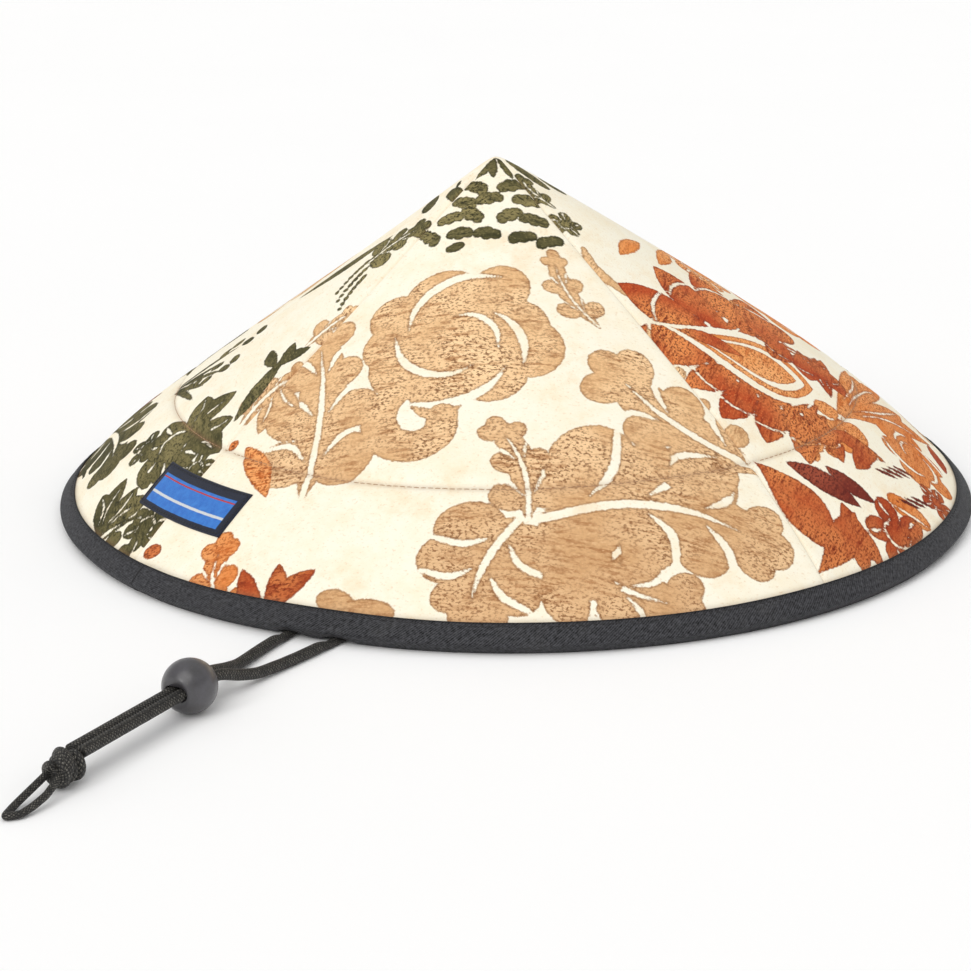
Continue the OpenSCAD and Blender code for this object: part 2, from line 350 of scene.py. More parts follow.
def radius_at(length):
    """The radius that lies length down the slope from the apex."""
    return np.where(length < CROWN_LEN, length * RING_R / CROWN_LEN, RING_R + (length - CROWN_LEN) * BRIM_COS)


def cloth_place(r, az, centre):
    """Where a point lies on its gore laid flat, in metres: the apex at the origin, the rim towards -Y."""
    length = np.where(r < RING_R, r * CROWN_LEN / RING_R, CROWN_LEN + (r - RING_R) / BRIM_COS)
    turn = turn_between(az, centre) * r / np.maximum(length, 1e-6)
    return length * np.sin(turn), -length * np.cos(turn)


# Generic meshes: tubes, stitches and bands
def smooth_route(route, before, after, step):
    """Points of a Catmull-Rom curve through route, about step apart, in metres."""
    pts = np.array([before, *route, after], float)
    out = []
    for a, b, c, d in zip(pts, pts[1:], pts[2:], pts[3:]):
        n = max(1, round(float(np.linalg.norm(c - b)) / step))
        for t in np.arange(n) / n:
            out.append(0.5 * (2 * b + (c - a) * t + (2 * a - 5 * b + 4 * c - d) * t**2
                              + (3 * b - a - 3 * c + d) * t**3))
    out.append(pts[-2])
    return np.array(out)


def frames_along(path):
    """Two side vectors at each point of path; each turns as little as it can."""
    ahead = unit(np.gradient(path, axis=0))
    side = np.array([1.0, 0.0, 0.0])
    sides = []
    for t in ahead:
        side = unit(side - (side @ t) * t)
        sides.append(side)
    return np.array(sides), np.cross(ahead, sides)


def lengths_along(path):
    return np.concatenate([[0], np.cumsum(np.linalg.norm(np.diff(path, axis=0), axis=1))])


def resample(path, step):
    along = lengths_along(path)
    at = np.linspace(0, along[-1], max(2, round(along[-1] / step) + 1))
    return np.stack([np.interp(at, along, path[:, k]) for k in range(3)], 1)


def braided(name, node, path, radius, sides, squash=1.0):
    """A closed tube round path, whose strands pass over and under each other in two directions."""
    along = lengths_along(path)
    twist = along[:, None] * 2 * pi / BRAID_PITCH * CARRIERS / 2
    turn = full_turn(sides)[None]
    right, left = np.cos(turn * CARRIERS / 2 + twist), np.cos(turn * CARRIERS / 2 - twist)
    thick = 1 - BRAID_DEPTH + BRAID_DEPTH * np.maximum(np.abs(right), np.abs(left)) * 2
    thick = radius * (thick - BRAID_DEPTH * 0.6 * np.abs(right * left))
    side, up = frames_along(path)
    turn = turn[..., None]
    offset = (side[:, None] * np.cos(turn) + up[:, None] * np.sin(turn)) * thick[..., None]
    offset[..., 2] *= np.reshape(squash, (-1, 1))
    verts = np.concatenate([(path[:, None] + offset).reshape(-1, 3), path[:1], path[-1:]])
    count, j = len(path) * sides, np.arange(sides)
    after = (j + 1) % sides
    first = np.stack([np.full(sides, count), j, after], 1)
    last = np.stack([np.full(sides, count + 1), count - sides + after, count - sides + j], 1)
    faces = quads(len(path), sides, wrap_cols=True).tolist() + first.tolist() + last.tolist()
    place = np.stack(np.broadcast_arrays(along[:, None], j / sides, 0.0), -1).reshape(-1, 3)
    place = np.concatenate([place, [[along[0], 0, 0], [along[-1], 0, 0]]])
    return piece(mesh_object(name, verts, faces, braid, braid=place), "braided_cord", node)


def stitches(name, node, starts, ends, normals, thick, material):
    """Short threads from each start to each end, raised in the middle and sunk at both ends."""
    t = np.array([0.0, 0.12, 0.5, 0.88, 1.0])[:, None]
    rise = np.array([-0.9, 0.05, 0.35, 0.05, -0.9])[:, None] * thick
    wide = np.array([0.45, 0.95, 1.0, 0.95, 0.45])[:, None, None] * thick / 2
    ahead, normals = ends - starts, normals[:, None]
    side = np.cross(unit(ahead), normals[:, 0])[:, None, None]
    centre = starts[:, None] + ahead[:, None] * t + normals * rise
    turn = full_turn(6)[:, None]
    rings = centre[:, :, None] + wide * (side * np.cos(turn) + normals[:, None] * np.sin(turn))
    one = quads(len(t), 6, wrap_cols=True)
    faces = np.concatenate([one + k * len(t) * 6 for k in range(len(starts))])
    return piece(mesh_object(name, rings.reshape(-1, 3), faces, material), "thread", node)


def stitch_row(name, node, r, depth, count, filled, thick, material):
    """A row of stitches on a circle of the shell, with normals outside, or inside if depth is large."""
    def point(az):
        here = shell(r, az, depth)
        normal = np.cross(shell(r + 0.5 * MM, az, depth) - here, shell(r, az + 0.002, depth) - here)
        return here, -unit(normal) if depth > FOAM_OUT else unit(normal)
    gap = 2 * pi / count
    az = gap * np.arange(count) + gap * (1 - filled) / 2
    (a, start), (b, end) = point(az), point(az + gap * filled)
    stitches(name, node, a, b, unit(start + end), thick, material)


def swept(profile, rings, wrap=True):
    """A closed outline carried through rings; open sweeps are closed at both ends."""
    points = [profile(k) for k in range(rings)]
    if not wrap:
        def shrunk(outline):
            return outline.mean(0) + 0.02 * (outline - outline.mean(0))
        points = [shrunk(points[0])] + points + [shrunk(points[-1])]
    points = np.stack(points)
    return points.reshape(-1, 3), quads(*points.shape[:2], wrap_rows=wrap, wrap_cols=True)


def joined(parts):
    """Several (verts, faces) as one."""
    verts, faces, count = [], [], 0
    for v, f in parts:
        verts.append(v)
        faces.append(f + count)
        count += len(v)
    return np.concatenate(verts), np.concatenate(faces)


def arc_band(radius, thick, low, high, first, last, rings, corner=0.4 * MM, wave=0.0):
    """A band standing round the axis, as (verts, faces, band coordinates)."""
    whole = last - first > 2 * pi - 1e-6
    edge = rounded_box(thick, high - low, min(corner, thick * 0.49))
    turn = np.linspace(first, last, rings, endpoint=not whole)

    def profile(k):
        out = radius + thick / 2 + edge[:, 0] + wave * sin(7 * turn[k])
        z = (low + high) / 2 + edge[:, 1] + 1.5 * wave * sin(5 * turn[k] + 1)
        return around(out, turn[k], z)
    verts, faces = swept(profile, rings, whole)
    x, y, z = verts.T
    return verts, faces, np.stack([np.arctan2(x, -y) * radius, z, np.hypot(x, y)], -1)


def rounded_box(width, height, corner, per_corner=4):
    """Points of a rounded rectangle round the origin, as (n, 2)."""
    out = []
    for k, (sx, sy) in enumerate([(1, 1), (-1, 1), (-1, -1), (1, -1)]):
        x, y = sx * (width / 2 - corner), sy * (height / 2 - corner)
        for a in k * pi / 2 + np.linspace(0, pi / 2, per_corner):
            out.append((x + corner * cos(a), y + corner * sin(a)))
    return np.array(out)


# The print: a generic botanical pattern. Shapes are distances on a gore laid flat, in
# millimetres and negative inside; the apex is the origin and the rim lies towards -y.
def polar(x, y, reach, turn):
    return x + reach * cos(radians(turn)), y + reach * sin(radians(turn))


def blob(x, y, wide, tall, turn=0.0):
    """An oval of half-widths wide and tall, turned by degrees."""
    c, s = cos(radians(turn)), sin(radians(turn))

    def distance(px, py):
        u, v = (px - x) * c + (py - y) * s, -(px - x) * s + (py - y) * c
        near = np.hypot(u / wide, v / tall)
        return near * (near - 1) / np.maximum(np.hypot(u / wide**2, v / tall**2), 1e-6)
    return distance, (x, y, max(wide, tall))


def stroke(points, start, middle, end):
    """A brush stroke through points, with its half-width at the start, the middle and the end."""
    route = smooth_route([(*p, 0) for p in points], (*(2 * np.array(points[0]) - points[1]), 0),
                         (*(2 * np.array(points[-1]) - points[-2]), 0), 1.5)[:, :2]
    t = np.linspace(0, 1, len(route))
    wide = np.where(t < 0.5, start, end) + (middle - np.where(t < 0.5, start, end)) * np.sin(pi * t)
    centre = route.mean(0)

    def distance(px, py):
        best = np.full(px.shape, 99.0)
        for (cx, cy), w in zip(route, wide):
            np.minimum(best, np.hypot(px - cx, py - cy) - w, out=best)
        return best
    return distance, (*centre, float(np.linalg.norm(route - centre, axis=1).max()) + max(start, middle, end))


def blade(x0, y0, x1, y1, width, bend=0.0, belly=0.5):
    """A pointed leaf from one tip to the other, bowed sideways by bend and widest at belly."""
    length = hypot(x1 - x0, y1 - y0)
    ux, uy = (x1 - x0) / length, (y1 - y0) / length
    power = log(0.5) / log(belly)

    def distance(px, py):
        along, side = (px - x0) * ux + (py - y0) * uy, (py - y0) * ux - (px - x0) * uy
        t = np.clip(along / length, 0, 1)
        side = np.abs(side - bend * np.sin(pi * t))
        half = width / 2 * np.sin(pi * t**power) ** 0.8
        past = np.maximum(np.maximum(-along, along - length), 0)
        outside = np.hypot(np.maximum(side - half, 0), past)
        return 0.9 * np.where((side < half) & (past == 0), side - half, outside)
    return distance, ((x0 + x1) / 2, (y0 + y1) / 2, length / 2 + width / 2 + abs(bend))


def crescent(x, y, radius, first, last, wide, drift=0.0):
    """A tapered arc whose radius grows by drift from its first angle to its last."""
    points = [polar(x, y, radius + drift * k / 4, first + (last - first) * k / 4) for k in range(5)]
    return stroke(points, 0.4, wide, 0.3)


def bloom(x, y, size, turn, petals=8):
    """An open flower: round petals about a heart, parted by curved gaps."""
    adds = [blob(x, y, 0.68 * size, 0.62 * size, turn)]
    for k in range(petals):
        a = turn + 360 * k / petals + 8 * sin(5 * k + turn)
        reach = size * (0.64 + 0.07 * sin(2.7 * k + turn))
        adds.append(blob(*polar(x, y, reach, a), size * 0.32, size * (0.33 + 0.06 * sin(4 * k)), a))
    gaps = ((0.86, 40, 140, 0.05, -0.36), (0.62, 150, 275, 0.045, -0.24), (0.90, 215, 300, 0.055, -0.30),
            (0.42, -40, 70, 0.035, -0.14), (0.72, -50, 20, 0.045, -0.26))
    return adds, [crescent(x, y, size * reach, turn + first, turn + last, size * wide, size * drift)
                  for reach, first, last, wide, drift in gaps]


def lobed(x0, y0, x1, y1, width, pairs=4, bend=0.1, rib=1.2):
    """A leaf of round lobes in pairs along a bent rib, with bare veins."""
    length, heading = hypot(x1 - x0, y1 - y0), degrees(atan2(y1 - y0, x1 - x0))

    def on(t, side):
        x, y = polar(x0, y0, length * t, heading)
        return polar(x, y, side + bend * length * sin(pi * t), heading + 90)
    spine = [on(t, 0) for t in (0.0, 0.3, 0.6, 0.94)]
    adds, cuts = [stroke(spine, width * 0.03, width * 0.22, width * 0.14)], []
    for k in range(pairs):
        t = (k + 0.75) / (pairs + 0.25)
        half = width / 2 * (1.08 - 0.62 * t) * (1 + 0.1 * sin(3 * k + x0))
        for side in (-1, 1):
            place = on(t + 0.02 * side, side * half * 0.58)
            adds.append(blob(*place, half * 0.60, half * 0.50, heading + side * 55))
            if k < pairs - 1:
                vein = ((0.01, 0.16), (0.42 / pairs, 0.5), (0.5 / pairs, 1))
                gap = [on(t + ahead, side * half * aside) for ahead, aside in vein]
                cuts.append(stroke(gap, 0.3, 0.028 * width, 0.02 * width))
    cuts.append(stroke([on(t, 0) for t in (-0.02, 0.3, 0.58, 0.8)], rib, rib, 0.2))
    return adds, cuts


def burst(x, y, size, turn, spread=150, petals=6):
    """Half a flower: feathered petals in a fan, each with teeth along one edge."""
    adds, cuts = [], []
    wide = 0.72 * size * radians(spread) / (petals - 1)
    for k in range(petals):
        a = turn + spread * (k / (petals - 1) - 0.5)
        far = size * (0.98 + 0.07 * sin(3 * k))
        petal = *polar(x, y, size * 0.34, a - 3), *polar(x, y, far, a + 4)
        adds.append(blade(*petal, wide, size * 0.03, 0.58))
        cuts.append(crescent(*polar(x, y, size * 0.5, a), size * 0.3, a - 30, a + 46, size * 0.012))
        for j in range(4):
            root = polar(x, y, size * (0.42 + 0.11 * j), a + 2)
            adds.append(blade(*root, *polar(*root, size * 0.24, a + 132), size * 0.07, size * 0.015, 0.35))
    return adds, cuts


def rosette(x, y, size, turn, petals=6):
    """Fat petals round a heart, each split by a bare line."""
    adds = [blob(x, y, size * 0.34, size * 0.3)]
    cuts = [crescent(x, y, size * 0.42, turn, turn + 250, size * 0.045)]
    for k in range(petals):
        a = turn + 360 * k / petals + 9 * sin(3 * k)
        adds.append(blob(*polar(x, y, size * 0.62, a), size * 0.4, size * 0.35, a))
        line = *polar(x, y, size * 0.5, a), *polar(x, y, size * 0.95, a + 6)
        cuts.append(blade(*line, size * 0.09, size * 0.03))
    return adds, cuts


def fan(x, y, length, turn, spread, count, width, ribs=True):
    """Pointed leaves that spread from one point, each with a bare rib."""
    adds, cuts = [], []
    for k in range(count):
        a = turn + spread * (k / max(count - 1, 1) - 0.5)
        far = polar(x, y, length * (1 - 0.12 * (k % 2)), a)
        adds.append(blade(x, y, *far, width, width * 0.2 * (-1) ** k, 0.55))
        if ribs:
            rib = *polar(x, y, length * 0.2, a), *polar(x, y, length * 0.8, a)
            cuts.append(blade(*rib, 1.3, width * 0.15 * (-1) ** k))
    return adds, cuts


def curl(x, y, size, turn, wide):
    """A fat hook, open on one side."""
    points = [polar(x, y, size * (1.25 - 0.09 * k), turn + 48 * k) for k in range(7)]
    return stroke(points, wide * 0.45, wide, wide * 0.8)


def seeds(x, y, length, turn, count, size):
    """A string of seeds that grow smaller."""
    grains = []
    for k in range(count):
        place = polar(x, y, length * k / count, turn + 2 * k)
        grains.append(blob(*place, size * (1 - 0.5 * k / count), size * 0.75, turn))
    return grains, []


class Print:
    """The inks of one gore: each is a distance in millimetres at every vertex."""

    def __init__(self, x, y):
        self.x, self.y = x, y
        self.ink = {name: np.full(x.shape, 30.0) for name in INKS}

    def draw(self, ink, *motifs):
        """Adds motifs in one ink. Each is one shape, or a list of shapes and a list of bare gaps in them."""
        for motif in motifs:
            adds, cuts = motif if isinstance(motif[0], list) else ([motif], [])
            here = np.full(self.x.shape, 30.0)
            for shapes, sign, keep in ((adds, 1, np.minimum), (cuts, -1, np.maximum)):
                for distance, (x, y, reach) in shapes:
                    near = np.hypot(self.x - x, self.y - y) < reach + 5
                    here[near] = keep(here[near], sign * distance(self.x[near], self.y[near]))
            self.ink[ink] = np.minimum(self.ink[ink], here)

    def clear(self, shape):
        """Leaves bare ground inside one shape."""
        away = -shape[0](self.x, self.y)
        for name, ink in self.ink.items():
            self.ink[name] = np.maximum(ink, away)

    def drop(self, x0, y0, x1, y1, width):
        """A drop inside a drop, with a bare ring between them."""
        def part(start, end, share, belly):
            tips = [a + t * (b - a) for t in (start, end) for a, b in ((x0, x1), (y0, y1))]
            return blade(*tips, width * share, 0, belly)
        self.clear(part(-0.1, 1.06, 1.24, 0.68))
        self.draw("amber", ([part(0, 1, 1, 0.7)], [part(0.1, 0.94, 0.76, 0.7)]), part(0.16, 0.88, 0.58, 0.68))


def hanging_leaves():
    """Foliage that hangs from the apex: a few blades, then rows of leaves of overlapping lobes."""
    leaves, size = [fan(0, -2, 17, -90, 64, 3, 5, False)], 12.5
    for row in range(2, 6):
        for k in range(row):
            aside = k - (row - 1) / 2
            x = size * (1.2 * aside + 0.16 * sin(3 * k + 5 * row))
            y = -size * (0.88 * row - 0.1 + 0.14 * sin(7 * k + row))
            a = 14 * aside + 30 * sin(3 * k + 2 * row)
            for j in range(-1, 2):
                wide, tall = size * (0.30 - 0.05 * abs(j)), size * (0.32 + 0.04 * sin(k + 2 * j))
                leaves.append(blob(*polar(x, y, 0.30 * size * j, a), wide, tall, a + 40 * j))
    return leaves


def paint_front(p):
    p.draw("olive", *hanging_leaves(), blob(-16, -62, 5, 3, 20), blob(-36, -46, 4, 5, 15),
           lobed(54, -56, 40, -34, 16, 2, 0.1, 0.6))
    p.draw("tan", bloom(-11, -120, 49, 24, 9), curl(-26, -168, 17, 80, 9),
           lobed(-76, -206, -87, -92, 58, 4, -0.06, 1.6), lobed(134, -168, 54, -124, 62, 3, 0.12, 1.8),
           lobed(28, -222, 8, -168, 32, 3, -0.1), lobed(24, -222, 6, -274, 62, 3, -0.08, 1.8),
           lobed(34, -220, 142, -214, 76, 4, 0.12, 2.2), lobed(40, -234, 104, -252, 50, 3, -0.1, 1.6),
           lobed(54, -106, 30, -60, 22, 3, 0.1, 0.7), fan(-104, -128, 34, -74, 40, 2, 12),
           blob(-52, -264, 9, 6, -20), blob(-38, -270, 13, 7))
    p.draw("amber", lobed(-100, -270, -110, -220, 32, 3, 0.16),
           blade(-112, -168, -94, -203, 12, 1.5, 0.45))
    p.draw("rust", fan(-84, -268, 30, 82, 74, 3, 10, False), blob(-120, -164, 3.4, 2.4),
           blob(-151, -219, 5, 4))


def paint_right(p):
    p.draw("olive", blob(-2, -18, 4, 13, -12), blob(6, -31, 5, 8),
           lobed(-20, -38, -8, -14, 15, 2, 0.1, 0.6), rosette(-28, -45, 9, 20, 5))
    p.draw("tan", stroke([(-40, -58), (-50, -67), (-57, -84)], 1.6, 3, 2),
           lobed(-124, -164, -72, -98, 22))
    p.draw("rust", burst(-52, -166, 86, 62, 96, 5), burst(-44, -160, 66, 184, 80, 5))
    p.drop(-64, -108, -40, -182, 40)
    p.draw("rust", blade(-62, -113, -52, -146, 10, 2), blade(-122, -166, -142, -218, 26, 3, 0.6),
           blade(-160, -215, -112, -220, 17, -2, 0.6), blade(-112, -212, -142, -236, 15, 2),
           blade(-132, -244, -116, -220, 9), rosette(-103, -244, 20, 50, 5),
           fan(-58, -222, 30, 160, 110, 3, 12, False))
    p.draw("amber", lobed(-44, -198, -98, -184, 26))
    p.draw("maroon", blade(-111, -180, -106, -222, 13, 1.5), blade(-97, -198, -96, -228, 10, -1))
    p.clear(blob(-68, -238, 13, 19, 24))
    for row in range(2):
        for k in range(4 - row):
            x, y = 5 * k - 8 * row, -3 * k - 16 * row
            p.draw("maroon", blade(x - 72, y - 222, x - 64, y - 236, 2.3))
    p.draw("amber",
           ([blob(-82, -246, 7, 14, 8)], [blade(-87, -236, -81, -258, 1.6)]),
           ([blob(-56, -206, 9, 10)], [blade(-60, -198, -54, -212, 1.4)]),
           bloom(-26, -244, 27, 70, 6), fan(-48, -196, 98, -22, 34, 4, 17), rosette(-6, -140, 18, 10),
           rosette(26, -112, 20, 40), blade(-28, -74, 2, -80, 9, 1), blade(-12, -93, 24, -93, 9, -1),
           bloom(56, -158, 34, 30, 7))
    p.draw("rust", rosette(-54, -260, 12, 0, 5), burst(6, -168, 42, 178, 90, 4),
           fan(-36, -192, 44, 22, 24, 2, 10), blade(-4, -266, 24, -256, 11), blob(6, -160, 12, 9),
           burst(128, -226, 36, 96, 140, 5))
    p.draw("tan", lobed(132, -196, 72, -108, 50, 4, 0.1, 1.5), lobed(34, -250, 92, -262, 26, 3),
           lobed(30, -88, 62, -122, 28, 3))
    p.draw("olive", fan(80, -222, 38, 96, 116, 4, 18), rosette(80, -228, 24, 30, 7),
           seeds(34, -70, 30, -60, 7, 2.2))


def paint_left(p):
    p.draw("olive", blob(16, -26, 7, 4.5, 20), blob(8, -41, 9, 5, -15), blade(4, -22, 12, -24, 3),
           blade(17, -64, 12, -126, 9, 1), lobed(32, -80, 30, -42, 24, 3, 0.08, 0.8),
           *[seeds(30 + 7 * k, -80 - k, 26, -66 + 6 * k, 7, 2.2) for k in range(3)],
           fan(82, -134, 20, 142, 96, 3, 8, False),
           stroke([(80, -132), (90, -142), (108, -158)], 2, 5, 1), fan(98, -188, 34, 96, 118, 4, 17),
           rosette(99, -194, 23, 30, 7), rosette(84, -212, 12, 80, 5), rosette(128, -182, 12, 0, 5),
           fan(128, -242, 34, 132, 84, 4, 15), rosette(146, -212, 14, 10),
           stroke([(126, -206), (128, -222), (130, -240)], 1, 1.4, 1),
           stroke([(138, -208), (134, -222), (134, -238)], 1, 1.2, 1), blob(112, -212, 8, 4, 20),
           blob(154, -226, 6, 5), blob(140, -232, 5, 6), lobed(-2, -262, 80, -238, 54, 4, 0.1, 2.0),
           stroke([(-14, -246), (10, -236), (34, -226)], 1.2, 2.4, 1),
           stroke([(6, -268), (30, -266), (52, -262)], 1, 2.2, 1), fan(26, -206, 44, 58, 60, 5, 4, False),
           *[blob(44 + 6 * sin(2.4 * k), -162 - 6 * k, 4.2, 3.2, 40 * k) for k in range(6)],
           *[blob(24 + 5 * sin(2 * k), -148 - 8 * k, 4.5, 3.4, 50 * k) for k in range(4)],
           lobed(-26, -78, -8, -44, 26, 3, 0.1, 0.8), fan(-26, -196, 36, 112, 110, 4, 17),
           rosette(-26, -202, 20, 0, 7))
    p.draw("tan", lobed(78, -118, 68, -84, 20, 2, 0.05), lobed(116, -156, 94, -114, 24, 3),
           bloom(-36, -126, 44, 80, 9), rosette(-70, -176, 15, 150, 5),
           lobed(-128, -186, -84, -120, 40, 3, 0.1, 1.4))
    p.draw("rust", burst(-86, -214, 54, 60))
    p.draw("amber", rosette(-86, -218, 20, 10, 7), fan(-44, -268, 40, 104, 100, 4, 14))
    p.draw("maroon", blade(-118, -236, -98, -252, 10, 1), blade(-2, -222, -8, -246, 9, -1))


def paint_back(p):
    p.draw("olive", *hanging_leaves())
    p.draw("tan", bloom(-40, -128, 45, 140, 9))
    p.draw("rust", burst(44, -158, 74, 98, 112, 5))
    p.drop(32, -98, 52, -172, 36)
    p.draw("rust", blade(34, -104, 44, -138, 9, 2), rosette(62, -246, 20, 10),
           fan(-112, -246, 32, 60, 80, 3, 12))
    p.draw("tan", lobed(138, -182, 82, -108, 46, 3, 0.1, 1.6),
           lobed(-14, -216, -132, -178, 68, 4, 0.12, 2.0), lobed(-14, -226, -80, -258, 50, 3, -0.1, 1.6),
           lobed(-8, -212, 4, -166, 30, 3), rosette(14, -200, 15, 20))
    p.draw("olive", fan(100, -210, 38, 100, 112, 4, 18), rosette(100, -216, 24, 20, 7),
           lobed(-12, -90, 14, -64, 20, 3), rosette(-86, -108, 11, 0, 5),
           lobed(-102, -162, -72, -128, 26, 3, 0.1, 1.0))
    p.draw("amber", fan(48, -200, 56, -60, 76, 4, 14), rosette(8, -250, 18, 60, 5))
    p.draw("maroon", blade(-120, -222, -98, -240, 11, 1.5), blade(120, -246, 138, -232, 9, -1))


GORES = [
    ("outer_front_gore", "gore_front", radians(-7), paint_front),
    ("outer_right_gore", "gore_right", radians(83), paint_right),
    ("outer_back_gore", "gore_back", radians(173), paint_back),
    ("outer_left_gore", "gore_left", radians(-97), paint_left),
]


# Materials
CREAM, CREAM_WARM, CREAM_PEACH = (251, 245, 226), (248, 236, 208), (240, 214, 178)
INKS = {
    "tan": ((252, 214, 166), (228, 184, 134), (170, 118, 74), (116, 74, 42)),
    "amber": ((252, 182, 116), (236, 146, 74), (190, 92, 32), (128, 56, 18)),
    "rust": ((238, 148, 84), (190, 80, 38), (132, 42, 18), (84, 28, 14)),
    "maroon": ((172, 84, 58), (128, 48, 34), (88, 28, 22), (62, 20, 18)),
    "olive": ((146, 134, 88), (80, 76, 46), (52, 52, 30), (34, 34, 22)),
}


def canvas_material():
    """Cotton canvas with a worn, speckled print."""
    g = Graph("printed_canvas", rough=0.88, Specular_IOR_Level=0.2)
    cloth = g.attribute("cloth")
    x, y, _ = g.parts(cloth)
    fine = g.noise(cloth, 1100, 2)
    cloud = g.noise(cloth, 55, 6, 0.7)
    drift = g.noise(cloth, 26, 3, 0.5, shift=(0.4, 0.1, 0))
    speck = g.noise(cloth, 640, 4, 0.62, stretch=(1, 1.4, 1))
    brush = g.noise(cloth, 300, 5, 0.7, stretch=(0.35, 1.6, 1), shift=(0.2, 0.7, 0))
    fray = (g.noise(cloth, 420, 4, 0.7) - 0.5) * 2.2
    low = g.span(y, -0.14, -0.24)

    colour = g.mix(g.span(cloud, 0.42, 0.72), CREAM, CREAM_WARM)
    colour = g.mix(g.span(cloud * drift, 0.3, 0.46) * 0.45, colour, CREAM_PEACH)
    colour = g.mix(g.span(speck, 0.58, 0.68) * 0.38, colour, (222, 184, 138))
    for name in ("tan", "amber", "rust", "maroon", "olive"):
        light, base, dark, line = INKS[name]
        distance = g.attribute(name, "Fac") + fray
        inside = g.span(distance, 0.25, -0.25)
        ink = g.mix(g.span(drift, 0.38, 0.62), light, base)
        ink = g.mix(g.span(brush, 0.49, 0.57) * g.span(cloud, 0.4, 0.6, 0.15, 0.8), ink, dark)
        ink = g.mix(g.span(speck, 0.52, 0.58) * g.span(drift, 0.6, 0.42, 0.2, 0.85), ink, line)
        ink = g.mix(g.span(speck, 0.42, 0.36) * 0.5, ink, light)
        ink = g.mix(low * 0.32, ink, dark)
        colour = g.mix(inside, colour, ink)
        near = g.math("ABSOLUTE", distance + 0.35)
        colour = g.mix(g.span(near, 0.75, 0.1) * 0.42, colour, line)
    # The ring of stitching and the seams get painted shade with a little dirt, and the canvas along the
    # binding's top edge gets painted shade.
    crease = g.span(g.attribute("crease", "Fac"), 0.0, 1.0)
    colour = g.mix(crease * 0.38, colour, (150, 112, 84))

    warp, weft = half_wave(g, x, 0.62 * MM), half_wave(g, y, 0.62 * MM)
    weave = g.math("MAXIMUM", warp * g.span(fine, 0.2, 0.7), weft)
    yarn = g.ramp(weave, (0.2, (120, 96, 70)), (0.8, (255, 252, 240)))
    colour = g.mix(0.05, colour, yarn, "MULTIPLY")
    normal = g.bump(weave, 0.09 * MM, 0.6, g.bump(g.noise(cloth, 45, 4, 0.6), 1.1 * MM, 0.35))
    return g.done(colour, cloud, 0.80, 0.94, g.bump(fine, 0.08 * MM, 0.5, normal))


def twill_material(name, dark, light, pitch=1.45 * MM, lap_and_edge_shade=False):
    """Woven tape with diagonal ribs of heathered yarn and a little lint, and, if asked, painted shade at its
    lap joint and along its top edge.
    """
    g = Graph(name, rough=0.82, Specular_IOR_Level=0.25, Sheen_Weight=0.04)
    place = g.attribute("tape")
    x, y, _ = g.parts(place)
    lint = g.noise(place, 700, 4, 0.7)
    across = x + y * 1.15 + g.noise(place, 90, 2) * (0.8 * MM)
    yarn = g.noise(g.add("CombineXYZ", X=across, Y=(y - x * 1.15) * 0.25), 800, 3, 0.65)
    fleck = g.noise(place, 620, 3, 0.7, shift=(0.3, 0.2, 0))
    height = half_wave(g, across, pitch) * 0.6 + g.span(yarn, 0.35, 0.65) * 0.4
    shade = height * 0.55 + g.span(fleck, 0.36, 0.64) * 0.45
    worn = g.span(g.noise(place, 60, 4, 0.65), 0.5, 0.75, 0, 0.25)
    colour = g.mix(worn, g.ramp(shade, (0.12, dark), (0.88, light)), (84, 83, 82))
    if lap_and_edge_shade:
        # Painted shade at the lap joint, and along the top edge where the tape meets the canvas.
        colour = g.mix(g.span(x, 1.3 * MM, 0.5 * MM, 0, 0.75), colour, dark)
        colour = g.mix(g.span(y, 1.1 * MM, 0.3 * MM, 0, 0.7), colour, dark)
    return g.done(colour, lint, 0.72, 0.9, g.bump(lint, 0.1 * MM, 0.5, g.bump(height, 0.25 * MM, 0.9)))


def braid_material():
    """Braided synthetic cord: carriers pass over and under each other, each of parallel filaments."""
    g = Graph("braided_cord", rough=0.55, Specular_IOR_Level=0.45)
    along, turn, _ = g.parts(g.attribute("braid"))
    helix, strands = along * (1 / (1.6 * MM)), turn * 8
    one, two = strands + helix, strands - helix
    over = g.math("FLOORED_MODULO", g.math("FLOOR", one) + g.math("FLOOR", two), 2.0)
    one, two = g.math("FRACT", one), g.math("FRACT", two)
    # Across and along whichever carrier lies on top here.
    across = over * one + (1.0 - over) * two
    length = over * two + (1.0 - over) * one

    def hill(value, power):
        return 1.0 - g.math("POWER", g.math("ABSOLUTE", value * 2.0 - 1.0), power)
    carrier = hill(across, 2.0) * hill(length, 4.0)
    filament = half_wave(g, across, 1 / 3)
    fuzz = g.noise(g.place(), 1500, 3, 0.7)
    fleck = g.noise(g.place(), 700, 3, 0.6)
    # The colour holds painted shade where each carrier dives under the next and along its edges, and painted
    # highlight on its crown and filaments.
    shade = carrier * (0.45 + filament * 0.55) * g.span(fleck, 0.3, 0.65, 0.45, 1.15) + (fuzz - 0.5) * 0.35
    colour = g.ramp(shade, (0.05, (10, 9, 9)), (0.5, (44, 42, 39)), (0.9, (128, 124, 114)))
    normal = g.bump(filament, 0.06 * MM, 0.6, g.bump(carrier, 0.4 * MM, 0.8))
    return g.done(colour, fuzz, 0.45, 0.7, g.bump(fuzz, 0.06 * MM, 0.5, normal))


def bead_material():
    """Moulded satin plastic, with the faint marks of handling."""
    g = Graph("bead_plastic", rough=0.34, Specular_IOR_Level=0.7, Coat_Weight=0.4, Coat_Roughness=0.28)
    place = g.place()
    cloud = g.noise(place, 120, 5, 0.65)
    scuff = g.noise(place, 900, 4, 0.7, stretch=(1, 0.15, 1))
    colour = g.mix(g.span(cloud, 0.35, 0.7), (44, 42, 44), (64, 62, 68))
    colour = g.mix(g.span(scuff, 0.60, 0.72, 0, 0.4), colour, (92, 86, 80))
    return g.done(colour, scuff, 0.30, 0.52, g.bump(g.noise(place, 260, 4, 0.6), 0.12 * MM, 0.35), 0.35)


